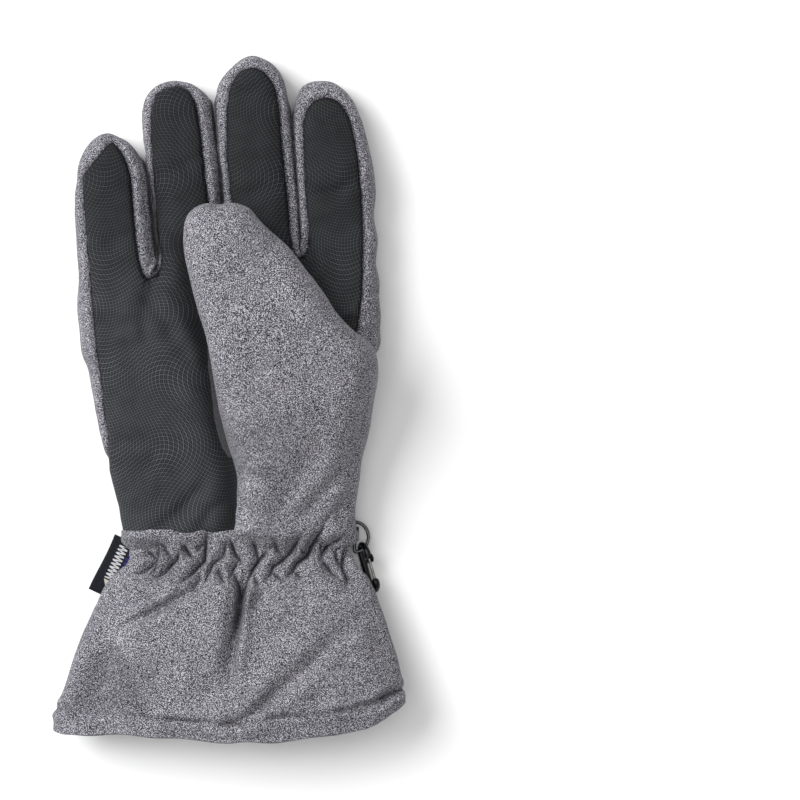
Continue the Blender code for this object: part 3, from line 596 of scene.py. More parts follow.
def webbing():
    """Black tape: ribs across its length over a fine weave."""
    made = Nodes("black_webbing", 0.8, Sheen_Weight=0.15)
    ribs = made.add("ShaderNodeTexWave", Vector=made.place, Scale=1 / WEBBING_PITCH / 6.28, Distortion=1.5)
    both = made.math("MULTIPLY_ADD", made.noise(1800.0), 0.4, made.math("MULTIPLY", ribs, 0.6))
    made.colour(made.ramp(both, ((0.2, (0.008, 0.008, 0.009)), (0.8, (0.035, 0.035, 0.038)))))
    made.bump(both, 0.0002, 0.8)
    return made.material


def label_cloth():
    """Damask ribbon, near black, with a pale and a blue zigzag and a beige wedge woven along it."""
    made = Nodes("label_damask", 0.6, Specular_IOR_Level=0.12)
    a, v = (
        made.math("SUBTRACT", made.dot((*way, 0)), LABEL_CORNER[0] * way[0] + LABEL_CORNER[1] * way[1])
        for way in (LABEL_ALONG, LABEL_ACROSS)
    )

    def between(value, low, high):
        over = made.math("GREATER_THAN", value, low)
        return made.math("MULTIPLY", over, made.math("LESS_THAN", value, high))

    def zigzag(low, high, pitch, thick, ends):
        share = made.math("DIVIDE", made.math("SUBTRACT", v, low), high - low)
        turn = made.math("PINGPONG", made.math("DIVIDE", a, pitch), 1.0)
        on_line = made.math("LESS_THAN", made.math("ABSOLUTE", made.math("SUBTRACT", share, turn)), thick)
        inside = made.math("MULTIPLY", between(a, *ends), between(v, low, high))
        return made.math("MULTIPLY", on_line, inside)

    def thread(dark, light):
        return made.ramp(weave, ((0.3, dark), (0.7, light)))

    weave = made.noise(1500.0)
    ground = thread((0.003, 0.0035, 0.006), (0.011, 0.012, 0.018))
    pale = thread((0.30, 0.30, 0.32), (0.62, 0.62, 0.64))
    blue = thread((0.014, 0.016, 0.09), (0.03, 0.034, 0.19))
    beige = thread((0.34, 0.33, 0.29), (0.50, 0.49, 0.43))
    start, end = 18.4, 22.0
    slope = made.math("MULTIPLY_ADD", made.math("SUBTRACT", a, start), -0.72, 3.1)
    wedge = made.math("LESS_THAN", made.math("ABSOLUTE", made.math("SUBTRACT", v, 6.9)), slope)
    wedge = made.math("MULTIPLY", wedge, between(a, start, end))
    cloth = made.mix(zigzag(3.8, 7.8, 0.8, 0.36, (2.8, 17.8)), ground, pale)
    cloth = made.mix(zigzag(8.6, 11.4, 0.9, 0.42, (3.0, 19.0)), cloth, blue)
    made.colour(made.mix(wedge, cloth, beige))
    made.bump(weave, 0.0001, 0.6)
    return made.material


def glossy(name, dark, light, roughness, metallic=1.0, coat=0.4):
    """Worn hard surface, metal unless told otherwise."""
    coating = {"Coat_Weight": coat, "Coat_Roughness": 0.12}
    made = Nodes(name, roughness, Metallic=metallic, Specular_IOR_Level=0.25, **coating)
    wear = made.noise(420.0, detail=4.0)
    made.colour(made.ramp(wear, ((0.35, dark), (0.75, light))))
    made.bump(made.noise(900.0), 0.00003, 0.4)
    return made.material


HEATHER = heather()
GRIP = wavy_grid()
FLEECE = fleece()
WEBBING = webbing()
LABEL = label_cloth()
GLOSS_BLACK = glossy("gloss_black", (0.0025, 0.003, 0.0035), (0.006, 0.007, 0.008), 0.3, 0.0, 0.03)
GUNMETAL = glossy("black_nickel", (0.05, 0.052, 0.055), (0.11, 0.112, 0.118), 0.3)
STEEL = glossy("worn_steel", (0.12, 0.12, 0.11), (0.34, 0.33, 0.30), 0.32)


# --- the hand ---


def stuffed(field, low, high, passes):
    """The evened-out skin of a stuffed form: vertices, quads and normals."""
    axes = [np.arange(a, b + GRID, GRID) for a, b in zip(low, high)]
    x, y = np.meshgrid(*axes[:2], indexing="ij")
    verts, quads = surface(field(x, y, axes[2][None, None, :]), low, GRID)
    verts = relax(verts, quads, passes)
    return verts, quads, normals_of(verts, quads)


def pillow(distance, z, top, edge, under, roll, power=2.35):
    """Field of a stuffed form: distance is how far inside its outline each point is."""
    out = np.clip((roll - distance) / roll, 0, None)
    half = np.where(z > edge, top - edge, edge - under)
    rise = np.abs(z - edge) / half
    return ((out**power + rise**power) ** (1 / power) - 1) * np.minimum(half, roll)


def hand_field(x, y, z, tucked=True):
    """Field of the palm and fingers. x and y have one shape, and z adds one axis at its end. Tucked, it is
    drawn in under the wrist's cloth."""
    tuck = (1.7 * ease(-y, 55.4, 57.4) + 2.6 * ease(-y, 57.6, 61)) * tucked
    half = (PALM_HALF_HEIGHT - 1.0 * ease(y, 20, 60) - 0.5 * tuck)[..., None]
    distance = inside_curve(x, y, PALM_OUTLINE) - tuck
    palm = pillow(distance[..., None], z, 2 * half, half, 0 * half, PALM_ROLL)
    whole = palm
    tip, root = FINGER_HALF_HEIGHT
    for name, outline in FINGER_OUTLINES.items():
        back = np.clip(TIP_Y[name] - y, 0, None)[..., None]
        half = tip + (root - tip) * ease(back, 0, 45)
        distance = inside_curve(x, y, outline)[..., None]
        finger = pillow(distance, z, 2 * half, half, 0 * half, FINGER_ROLL)
        whole = np.minimum(whole, smooth_min(palm, finger, ROOT_JOIN))
    return np.maximum(whole, -z)


def thumb_field(x, y, z, tucked=True):
    """Field of the thumb and its base, which lie over the palm."""
    along = (x - THUMB_HINGE[0]) * THUMB_TOWARDS[0] + (y - THUMB_HINGE[1]) * THUMB_TOWARDS[1]
    stations, *heights = np.array(THUMB_HEIGHTS).T
    top, edge, under = (np.interp(along, stations, h)[..., None] for h in heights)
    tuck = (1.4 * ease(-y, 56.5, 59.5) + 2.4 * ease(-y, 59.5, 63)) * tucked
    distance = inside_curve(x, y, THUMB_OUTLINE) - tuck
    return pillow(distance[..., None], z, top - tuck[..., None], edge, under, THUMB_ROLL, power=2.3)


def flatten_on_floor(verts):
    """Presses what would reach below the floor up to it."""
    soft = 1.2
    verts[:, 2] = np.where(verts[:, 2] < soft, soft * np.exp((verts[:, 2] - soft) / soft), verts[:, 2])
    verts[:, 2] -= soft * math.exp(-1.0)
    verts[:, 2] = np.maximum(verts[:, 2], 0.0)
    return verts


def clear_of_wrist_cloth(verts):
    """Keeps the underside just off the floor where the wrist's cloth lies between the two."""
    verts[:, 2] = np.maximum(verts[:, 2], 0.25 * ease(-verts[:, 1], 53.4, 54.9))
    return verts


# The palm's valley along the thumb, then folds: points along each from above, its depth and its width, and
# where one side is steeper, how much.
UNDER_THUMB = ((-19, 62), (-15, 44), (-9.6, 25), (-6.6, 8), (-4, -8), (-0.5, -22), (1.6, -36), (1.0, -54))
HAND_FOLDS = (
    (UNDER_THUMB, 2.6, 5.5),
    (((-33.5, 49), (-30, 38), (-22, 24), (-14, 10)), 1.5, 3.2, 0.25),
    (((-33.5, 49), (-36, 36), (-35, 20)), 0.9, 3),
    (((-60, 36), (-48, 30), (-38, 30)), 0.7, 3),
    (((-8, -30), (-14, -40), (-24, -50), (-34, -56)), 1.5, 3.4, -0.2),
    (((-1, -42), (-8, -47), (-14, -57)), 1.4, 2.6),
    (((-56, -12), (-44, -18), (-32, -18)), 0.7, 3.6),
    (((-40, 69), (-50, 66), (-60, 67)), 0.8, 2.6),
    (((-10, 92), (-20, 96), (-32, 93)), 0.8, 2.4),
    (((-8, 104), (-18, 99), (-26, 101)), 0.5, 2.2),
    (((23, 84), (14, 87), (2, 84)), 0.8, 2.6),
    (((16, 133), (9, 130), (2, 131)), 0.7, 1.8),
    (((54, 92), (44, 86), (32, 84)), 1, 2.6),
    (((34, 120), (40, 116), (47, 117)), 0.8, 1.8),
    (((54, 72), (45, 75), (36, 73)), 0.6, 2.2),
    (((27, 60), (22, 54), (14, 48)), 1.2, 2.8),
    (((57, 66), (60, 64), (63, 66)), 0.9, 1.6),
    (((57, 43), (60, 44), (63, 43)), 0.9, 1.6),
    (((57, 30), (60, 29), (63, 30)), 0.9, 1.6),
    (((42, 30.5), (48.5, 33.2), (55.5, 32.6)), 1.6, 1.1),
)
CROTCHES = ((-34.5, 51.5), (-3.5, 63.5), (28.6, 61.0))


def square_on(normals, share):
    """Normals with only a share of their lean along the glove, so a seam's edge isn't dragged along it."""
    held = normals.copy()
    held[:, 1] *= share
    return held / np.maximum(np.linalg.norm(held, axis=1), 0.2)[:, None]


def dress_hand(verts, normals, grip):
    """Seam grooves, soft folds and puckers, as moves along the normal."""
    x, y, z = verts.T
    move = 0.45 * noise(verts, 17.0, 3) + 0.16 * noise(verts, 6.0, 4)
    facing = ease(normals[:, 2], -0.1, 0.5)
    move += facing * folds(x, y, HAND_FOLDS)
    seam = bell(grip, SEAM_WIDTH)
    roll = bell(grip + 3.0, 2.0) * 0.35
    on_seam = ease(z, GRIP_LOWEST - 3, GRIP_LOWEST + 2)
    ripple = 1 + 0.35 * noise(verts, 3.2, 5)
    move += on_seam * (-SEAM_DEPTH * seam * ripple + roll * (1 + 0.5 * noise(verts, 4.5, 6)))
    for cx, cy in CROTCHES:
        r = np.hypot(x - cx, y - cy)
        turn = np.arctan2(y - cy, x - cx)
        move += 0.75 * bell(r, 5.0) * np.sin(7 * turn + 2 * noise(verts, 3.0, 7)) * facing
    move += touching(verts, normals)
    gathered = verts[:, 1] < -44
    move[gathered] += shirring(round_wrist(*verts[gathered].T), y[gathered])[0]
    return verts + square_on(normals, ease(y, -52, -46)) * move[:, None]


def inside_fingers(x, y):
    """How far inside each finger's outline each point is, one row a finger."""
    return np.array([inside_curve(x, y, outline) for outline in FINGER_OUTLINES.values()])


def touching(verts, normals):
    """How far the walls between two fingers swell, so that neighbours nearly touch."""
    gaps = -np.sort(inside_fingers(*verts[:, :2].T), axis=0)[-2]
    swell = np.clip(gaps / 2 - 0.12, 0, 0.75) * ease(-gaps, -3.4, -1.8)
    return swell * ease(-np.abs(normals[:, 2]), -0.75, -0.3) * ease(verts[:, 1], 40, 56)


def painted_gap_shade(verts, normals):
    """Painted shade at each point: down in a gap between two fingers, and on the palm by the thumb's edge.
    """
    x, y, _ = verts.T
    own = inside_fingers(x, y)
    ahead = inside_fingers(x + 2.2 * normals[:, 0], y + 2.2 * normals[:, 1])
    other = np.where(own == own.max(0), -9.0, ahead).max(0)
    gaps = 0.97 * ease(other, -1.4, 0.4) * ease(-normals[:, 2], -0.94, -0.55) * (own.max(0) < 4)
    beside = path_distance(x, y, UNDER_THUMB)[0]
    return np.maximum(gaps, 0.85 * bell(beside, 6.8) * ease(normals[:, 2], 0.3, 0.8))


def build_hand():
    verts, quads, normals = stuffed(hand_field, (-70, -66, -3 * GRID), (66, 149, 28.5), 2)
    grip = inside_curve(*verts[:, :2].T, GRIP_OUTLINE)
    grip = np.minimum(grip, (verts[:, 2] - GRIP_LOWEST) * 0.9)
    verts = clear_of_wrist_cloth(flatten_on_floor(dress_hand(verts, normals, grip)))
    normals = normals_of(verts, quads)
    # After these six come 6: how far inside the grip, 7: past the wrist's end, 8 to 11: into each finger's
    # piece, and 12: painted shade in the finger gaps and beside the thumb.
    columns = [verts, normals, grip[:, None], verts[:, 1:2] - HAND_END]
    for name in FINGER_OUTLINES:
        pivot, direction = joint(name + "_bend")
        along = (verts - pivot) @ direction + FINGER_CUT[name]
        width = inside_curve(*verts[:, :2].T, FINGER_OUTLINES[name]) + 1.2
        columns.append(np.minimum(along, width)[:, None])
    columns.append(painted_gap_shade(verts, normals)[:, None])
    data = np.hstack(columns)
    data, tris, _ = split(data, triangles(quads), 7)
    pieces = {}
    for i, name in enumerate(FINGER_OUTLINES):
        data, pieces[name], tris = split(data, tris, 8 + i)
    pieces["hand"] = tris
    for name, part in pieces.items():
        data, dark, grey = split(data, part, 6)
        verts, normals = data[:, :3], data[:, 3:6]
        # Painted shade: a dark line down each grip seam's groove, joined with the painted shade of the
        # finger gaps and beside the thumb.
        seam = 0.9 * bell(data[:, 6], 0.62) * ease(verts[:, 2], GRIP_LOWEST - 3, GRIP_LOWEST + 1)
        painted_shade = np.maximum(seam, data[:, 12])
        front = make_mesh(name + "_grip_skin", verts, dark, normals, GRIP, "palm_grip", painted_shade)
        shell = make_mesh(name + "_shell_skin", verts, grey, normals, HEATHER, "shell_grey", painted_shade)
        if name == "hand":
            for piece in (front, shell):
                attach(piece, "hand")
            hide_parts("palm_panel")
            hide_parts("back_panel", "hand_wadding")
            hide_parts(*(n for n in frame["nodes"] if n.startswith("fourchette")))
        else:
            for piece in (front, shell):
                bend(piece, name + "_bend", "hand", name + "_finger")
            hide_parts(name + "_front_panel")
            gussets = [n for n in frame["nodes"] if n.startswith(name + "_gusset")]
            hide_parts(name + "_back_panel", name + "_flex_sleeve", name + "_wadding", *gussets)


# --- the thumb ---

THUMB_FOLDS = (
    (((6, -14), (18, -26), (22, -40)), 0.7, 4),
    (((55, -22), (47, -31), (38, -41), (27, -54)), 1.3, 2.6, 0.3),
    (((52, -38), (46, -46), (39, -57)), 1.6, 2),
    (((40, -14), (32, -28), (18, -42)), 0.8, 4.6),
    (((2, -28), (9, -33), (18, -34)), 1.2, 2.8),
    (((3, -42), (9, -48), (13, -57)), 1.3, 2.4),
    (((20, -50), (24, -42), (30, -36)), 0.7, 3),
    (((-4, 4), (6, 0), (16, 2)), 0.6, 4),
    (((59, 14), (50, 10), (40, 2)), 0.7, 4),
    (((57, 8), (55, -12), (51, -34), (48, -48)), 0.8, 1.6, 0.3),
    (((-6, 60), (6, 54), (16, 56)), 0.4, 5),
    (((-11, 82), (-5, 79.5), (0, 82)), 1.2, 1.5),
)


def build_thumb():
    verts, quads, normals = stuffed(thumb_field, (-24, -69, -2), (66, 86, 57), 4)
    move = 0.5 * noise(verts, 19.0, 13) + 0.18 * noise(verts, 7.0, 14)
    facing = ease(normals[:, 2], -0.1, 0.5)
    move += facing * folds(verts[:, 0], verts[:, 1], THUMB_FOLDS)
    gathers, painted_shade = shirring(round_wrist(*verts.T), verts[:, 1])
    normals = square_on(normals, ease(verts[:, 1], -52, -46))
    verts = clear_of_wrist_cloth(flatten_on_floor(verts + normals * (move + gathers)[:, None]))
    normals = normals_of(verts, quads)
    thumb = make_mesh("thumb_skin", verts, triangles(quads), normals, HEATHER, "shell_grey", painted_shade)
    bend(thumb, "thumb_lift", "hand", "thumb")
    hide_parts("thumb_base_panel", "thumb_flex_sleeve", "thumb_wadding")
    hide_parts("thumb_outer_panel", "thumb_inner_panel")


# --- wrist and cuff ---


def tube_sides(y):
    ys, left, right, half = np.array(TUBE)[::-1].T
    return (np.interp(y, ys, v) for v in (left, right, half))


def section_radius(angle, wide, high):
    """How far the tube's rounded section reaches from its middle at an angle."""
    across, up = np.abs(np.cos(angle) / wide), np.abs(np.sin(angle) / high)
    return (across**TUBE_POWER + up**TUBE_POWER) ** (-1 / TUBE_POWER)


def girth_table():
    """Ray angles round the wrist's section and the distance round it to each."""
    fine = np.linspace(0, 2 * math.pi, 20001)
    r = section_radius(fine, 48.0, 12.6)
    steps = np.hypot(*np.diff(np.c_[r * np.cos(fine), r * np.sin(fine)], axis=0).T)
    return fine, np.concatenate(([0], np.cumsum(steps)))


def from_top(run):
    """A distance round the wrist, measured from its top towards the thumb side."""
    top = np.interp(math.pi / 2, FINE_ANGLES, FINE_RUN)
    return (top - run + GIRTH / 2) % GIRTH - GIRTH / 2


def round_wrist(x, y, z):
    """How far round the wrist each point lies. On the palm side it is simply x."""
    x0, x1, high = tube_sides(y)
    angle = np.arctan2(z - high, x - (x0 + x1) / 2)
    s = from_top(np.interp(angle % (2 * math.pi), FINE_ANGLES, FINE_RUN)) + (x0 + x1) / 2
    front = ease(np.sin(angle), 0.05, 0.3)
    return x * front + s * (1 - front)


def crease_paths(length):
    """The wrist's creases all round it: the palm side as given, the rest by rule."""
    rng = np.random.default_rng(77)
    paths = [(np.array(path), depth) for path, depth in WRIST_CREASES]
    at = 52.0
    while at < length - 44.0:
        a = at + rng.uniform(-1.2, 1.2)
        b = a - PLEAT_PITCH * 0.45 + rng.uniform(-1, 1)
        up = (a + rng.uniform(-1, 4), -57.2 + rng.uniform(0, 4))
        down = (b + rng.uniform(-4, 1.5), -78 - rng.uniform(0, 7))
        path = np.array((up, (a, ELASTIC_ROWS[0]), (b, ELASTIC_ROWS[1]), down))
        paths.append((path, rng.uniform(0.8, 1.15)))
        if rng.random() < 0.6:
            c = b - PLEAT_PITCH * 0.5 + rng.uniform(-1, 1)
            paths.append((np.array(((b, ELASTIC_ROWS[1]), (c, ELASTIC_ROWS[0] + 1.0))), 0.6))
        at += PLEAT_PITCH
    return paths


AROUND = 560
FINE_ANGLES, FINE_RUN = girth_table()
GIRTH = FINE_RUN[-1]
ANGLES = np.interp((np.arange(AROUND) + 0.5) / AROUND * GIRTH, FINE_RUN, FINE_ANGLES)
AROUND_S = from_top(np.interp(ANGLES, FINE_ANGLES, FINE_RUN))
CREASES = crease_paths(GIRTH)


def shirring(s, y):
    """The gathered cloth at a distance s round the wrist: height of its puffs, and painted shade in its
    creases.
    """
    here = np.c_[s, y, 0 * s]
    s = s + 0.5 * noise(here, 6.5, 21) + 0.25 * noise(here, 2.8, 22)
    y = y + 0.5 * noise(here, 6.5, 23)
    band = np.interp(y, (-96, -86, -78, -71, -61, -57, -52, -46), (0, 0.2, 0.8, 1, 1, 0.85, 0.35, 0))
    valley, sharp, dark = np.zeros((3, *s.shape))
    near = band > 0
    for path, depth in CREASES:
        for wrap in (-GIRTH, 0, GIRTH):
            reach = near & (np.abs(s - wrap - path[:, 0].mean()) < 24)
            if reach.any():
                d, _, along = path_distance(s[reach] - wrap, y[reach], path)
                deep = depth * np.sin(np.pi * np.clip(along, 0.03, 0.97)) ** 0.45
                cuts = np.exp(-((d / 2.7) ** 1.4)), np.exp(-d / 0.8), bell(d, 0.62)
                for total, cut in zip((valley, sharp, dark), cuts):
                    total[reach] = np.maximum(total[reach], deep * cut)
    rows = sum(bell(y - row, 1.5) for row in ELASTIC_ROWS)
    puff = 1.0 + 0.3 * noise(here, 11.0, 24)
    height = 2.2 * puff - 3.3 * valley - 2.0 * sharp - 0.3 * rows
    # The second value is painted shade: dark along the line of each of its creases and a little in their
    # valleys.
    return band * height, band * (0.95 * dark + 0.05 * valley**3)


# Folds of the cuff's front and back, and the outline of the patch of painted shade on its front.
CUFF_FOLDS = (
    (((5.4, -71), (5.2, -78), (4.2, -87), (2.8, -96), (1.2, -107), (0.4, -119)), 4.8, 2.8, 0.35),
    (((5.6, -73), (5.2, -80), (4, -90), (2.6, -97)), 2.4, 1.2),
    (((-10, -77), (-15.3, -79.3), (-24, -84.2), (-33, -89.4), (-44, -94)), 3.2, 1.8, -0.35),
    (((-22, -74), (-36.6, -75), (-46, -80), (-56, -86)), 1, 3.2),
    (((53, -94), (45, -100), (34, -111), (20, -123), (10, -131.5), (2, -134.6)), 3.1, 3.2, 0.3),
    (((22, -119), (14, -127), (9, -131.6), (0, -134.2)), 1.5, 1.6, 0.2),
    (((6.6, -90), (11, -85), (17.3, -78.1)), 1.7, 1.9),
    (((20, -98), (26, -88), (34, -80)), 0.7, 3.2),
    (((-49, -88), (-51, -102), (-55, -118), (-56, -132)), 2.6, 6.5),
    (((-34, -100), (-31, -114), (-36, -130)), 0.8, 5),
    (((-10, -98), (-4, -112), (-7, -128)), 1.1, 6),
    (((55, -84), (61, -98), (66, -112)), 1.3, 4),
    (((54, -128.6), (60.1, -127.6), (66, -123.6), (73.3, -119.8)), 2.6, 1.8),
    (((-24, -127), (-10, -123), (4, -127)), 0.8, 3.6),
    (((30, -130), (36, -125), (46, -124)), 0.8, 2.6),
)
CUFF_SHADED_PATCH = ((-49, -99), (-40, -111), (-34.5, -122), (-34, -131), (-70, -131), (-62, -113))
BACK_FOLDS = (
    (((-30, -78), (-34, -92), (-36, -110)), 2, 4),
    (((12, -78), (10, -96), (14, -114)), 2.4, 4),
    (((40, -84), (46, -100), (48, -118)), 1.8, 4.4),
)


def at_line(x, points):
    """The height in y, at each x, of a line through the points."""
    return np.interp(x, *np.array(points).T)


def tube_levels():
    levels = [("straight", y) for y in np.arange(0.0, CUFF_BEND - JOIN_START, -0.5)]
    levels += [("panel", t) for t in np.linspace(0, 1, 46)]
    return levels + [("hem", t) for t in np.linspace(0, 1, 15)[1:]]


def tube_grid(shrink=0.0, joined=True):
    """All points of the tube, rows by AROUND, and each row's kind."""
    front = ease(np.sin(ANGLES), 0.05, 0.35)
    rows, kinds = [], []
    for kind, value in tube_levels():
        if kind == "straight":
            y = np.full(AROUND, JOIN_START + value)
            if joined:
                lift = THUMB_JOIN_LIFT * front * ease(AROUND_S, 0, 9) - 2.4 * front * ease(-AROUND_S, 34, 50)
                y = y + lift * (1 - ease(-value, 0, 8))
        else:
            y = np.full(AROUND, CUFF_BEND)
        for _ in range(1 if kind == "straight" else 4):
            x0, x1, high = tube_sides(y)
            r = section_radius(ANGLES, (x1 - x0) / 2, high)
            x = (x0 + x1) / 2 + (r - shrink) * np.cos(ANGLES)
            z = high + (r - shrink) * np.sin(ANGLES) * (high - shrink) / high
            if kind != "straight":
                line = at_line(x, HEM_LINE)
                ripple = 0.35 * np.sin(AROUND_S / 2.9) + 0.3 * np.sin(AROUND_S / 4.7 + 2)
                edge = at_line(x, HEM_EDGE) + ripple
                start, end = (CUFF_BEND, line) if kind == "panel" else (line, edge)
                y = start + (end - start) * value
        rows.append(np.c_[x, y, z])
        kinds.append((kind, value))
    return np.array(rows), kinds


def join_to_hand(points, rows):
    """Moves the first rows onto the hand: just under its skin at the very edge, then just over it."""
    x, y, z = points[:rows].reshape(-1, 3).T
    x0, x1, high = tube_sides(y)
    centre = (x0 + x1) / 2
    reach = np.hypot(x - centre, z - high)
    ux, uz = (x - centre) / reach, (z - high) / reach
    near, far = np.full_like(reach, 4.0), np.full_like(reach, 90.0)
    for _ in range(16):
        r = (near + far) / 2
        px, pz = centre + r * ux, (high + r * uz)[:, None]
        inside = np.minimum(hand_field(px, y, pz, False), thumb_field(px, y, pz, False))[:, 0] < 0
        near, far = np.where(inside, r, near), np.where(inside, far, r)
    thumb_side = np.tile(ease(AROUND_S, 0, 8) * ease(np.sin(ANGLES), 0.05, 0.3), rows)
    start = JOIN_START + THUMB_JOIN_LIFT * thumb_side
    step = -0.7 + 1.3 * ease(start - y, 0, 0.9 + 4.5 * thumb_side)
    share = ease(-y, 57.0, 63.5)
    new = (near + step) * (1 - share) + reach * share
    points[:rows] = np.c_[centre + new * ux, y, high + new * uz].reshape(rows, AROUND, 3)


def grid_quads(rows, columns):
    i, j = np.meshgrid(np.arange(rows - 1), np.arange(columns), indexing="ij")
    k = (j + 1) % columns
    quads = np.stack((i * columns + j, (i + 1) * columns + j, (i + 1) * columns + k, i * columns + k), -1)
    return quads.reshape(-1, 4)


def outward(verts, quads):
    """Normals that point away from the tube's middle, and quads wound to match."""
    normals = normals_of(verts, quads)
    if (normals[:, 2] * (verts[:, 2] - verts[:, 2].mean())).sum() < 0:
        return -normals, quads[:, ::-1]
    return normals, quads


def build_tube():
    points, kinds = tube_grid()
    join_to_hand(points, JOIN_ROWS)
    rows = len(points)
    verts = points.reshape(-1, 3)
    normals, quads = outward(verts, grid_quads(rows, AROUND))
    x, y, z = verts.T
    front = np.tile(ease(np.sin(ANGLES), -0.1, 0.2), rows)
    move, painted_shade = shirring(round_wrist(x, y, z), y)
    move += front * folds(x, y, CUFF_FOLDS) + (1 - front) * folds(x, y, BACK_FOLDS)
    move += (1.0 * noise(verts, 26.0, 41) + 0.35 * noise(verts, 9.0, 42)) * ease(-y, 72, 92)
    hollow = ease(x, 40, 50) * ease(-z, -14.0, -9.5) * ease(-y, 59, 65) * ease(y, -92, -84)
    move -= HOOK_HOLLOW * hollow
    off = y - at_line(x, HEM_LINE)
    pucker = 1 + 0.8 * noise(verts, 3.6, 43)
    held = 0.3 + 0.7 * ease(x + 14 * noise(verts, 30.0, 46), -42, -18)
    move += -1.1 * held * bell(off, 1.0) * pucker
    move += 0.5 * bell(np.abs(off) - 3.0, 1.8) * (1 + 1.1 * noise(verts, 5.0, 44))
    # Painted shade down the deep fold's valley.
    deep, _, along = path_distance(x, y, CUFF_FOLDS[0][0])
    painted_shade += front * 0.85 * bell(deep, 2.1) * ease(along, 0.02, 0.2) * ease(-along, -0.98, -0.4)
    # Painted shade over a patch on the lower left of the cuff's front.
    wear_and_painted_shade = inside_distance(x, y, np.array(CUFF_SHADED_PATCH)) + 2.5 * noise(verts, 12.0, 47)
    painted_shade += front * 0.38 * ease(wear_and_painted_shade, -1.5, 4.0)
    # Painted shade along the hem's stitch groove, in patches.
    painted_shade += 0.8 * held * bell(off, 0.7) * ease(noise(verts, 8.0, 45), -0.6, 0.4)
    verts = flatten_on_floor(verts + square_on(normals, ease(-y, 60, 66)) * move[:, None])
    normals, quads = outward(verts, quads)
    wrist_rows = sum(1 for kind, value in kinds if kind == "straight" and JOIN_START + value >= WRIST_END)
    line_rows = sum(1 for kind, _ in kinds if kind != "hem")
    bands = {"wrist": (0, wrist_rows), "cuff": (wrist_rows - 1, line_rows), "hem": (line_rows - 1, rows)}
    row_of = quads.min(1) // AROUND
    made = {}
    for name, (first, last) in bands.items():
        skin = triangles(quads[(row_of >= first) & (row_of < last - 1)])
        made[name] = make_mesh(name + "_skin", verts, skin, normals, HEATHER, "shell_grey", painted_shade)
    bend(made["wrist"], "wrist_bend", "hand", "cuff", *WRIST_REACH)
    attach(made["cuff"], "cuff")
    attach(made["hem"], "cuff")
    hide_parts("wrist_shirred_sleeve", "wrist_elastic_upper", "wrist_elastic_lower")
    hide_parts("cuff_front_panel", "cuff_back_panel", "cuff_wadding")
    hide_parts("cuff_hem")
    return verts.reshape(rows, AROUND, 3)


def build_cuff_inside(outer):
    """The hem turned in over the edge, and the fleece that runs from it up to the wrist."""
    plain, _ = tube_grid(shrink=HEM_DEPTH, joined=False)
    deeper, _ = tube_grid(shrink=FLEECE_DEPTH, joined=False)
    depth = np.clip(np.linspace(1.6, 0, len(plain)), 0, 1)[:, None, None]
    inner = (plain + (deeper - plain) * depth)[::-1]
    inner[..., 2] = np.maximum(inner[..., 2], 0.5)
    edge = outer[-1]
    first = inner[0].copy()
    lip = []
    for share, drop in ((0.0, 0.0), (0.12, 0.35), (0.35, 0.6), (0.65, 0.55), (0.88, 0.2)):
        ring = edge + (first - edge) * share
        ring[:, 1] -= drop
        lip.append(ring)
    turned = np.array([*lip, *inner[:16]])
    pile = inner[13:][::2].copy()
    pile = pile[pile[:, :, 1].mean(1) < WRIST_END + 1]
    sleeve = deeper[::-1][::2].copy()
    sleeve = sleeve[sleeve[:, :, 1].mean(1) > WRIST_END - 0.8]
    sleeve[..., 2] = np.maximum(sleeve[..., 2], 2.0)
    pile[..., 2] += 0.35 * noise(pile.reshape(-1, 3), 5.0, 51).reshape(pile.shape[:2]) + 0.15
    for name, grid, material, slot, gone in (
        ("hem_turned_in", turned, HEATHER, "shell_grey", "cuff_hem"),
        ("cuff_fleece", pile, FLEECE, "lining", "cuff_lining"),
        ("wrist_fleece", sleeve, FLEECE, "lining", "wrist_lining"),
    ):
        verts = grid.reshape(-1, 3)
        normals, quads = outward(verts, grid_quads(len(grid), AROUND))
        inside = make_mesh(name, verts, triangles(quads[:, ::-1]), -normals, material, slot)
        if name == "wrist_fleece":
            bend(inside, "wrist_bend", "hand", "cuff", *WRIST_REACH)
        else:
            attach(inside, "cuff")
        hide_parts(gone)


# --- label, ring and hook ---


def swept(sections, looped=False):
    """Vertices and triangles of a solid through rings of points. Looped, the last ring joins the first, and
    otherwise both ends are closed."""
    rows, columns = len(sections), len(sections[0])
    verts = np.concatenate(sections)
    quads = grid_quads(rows, columns)
    last = (rows - 1) * columns
    j = np.arange(columns)
    k = (j + 1) % columns
    if looped:
        tris = triangles(np.vstack((quads, np.c_[last + j, j, k, last + k])))
    else:
        start, end = np.full((2, columns), len(verts)) + [[0], [1]]
        verts = np.vstack((verts, verts[:columns].mean(0), verts[-columns:].mean(0)))
        tris = np.vstack((triangles(quads), np.c_[start, j, k], np.c_[end, last + k, last + j]))
    volume = np.einsum("ij,ij->i", verts[tris[:, 0]], np.cross(verts[tris[:, 1]], verts[tris[:, 2]])).sum()
    return verts, tris if volume > 0 else tris[:, ::-1]


def ring_round(middle, radius, u, v, sides):
    """Points on a circle in the plane of u and v."""
    turns = np.linspace(0, 2 * math.pi, sides, endpoint=False)[:, None]
    return middle + radius * (np.cos(turns) * u + np.sin(turns) * v)


def arc(radius, start, end, count, along=0.0):
    """Points on an arc whose middle lies some way along the first axis."""
    return [(along + radius * math.cos(a), radius * math.sin(a)) for a in np.linspace(start, end, count)]


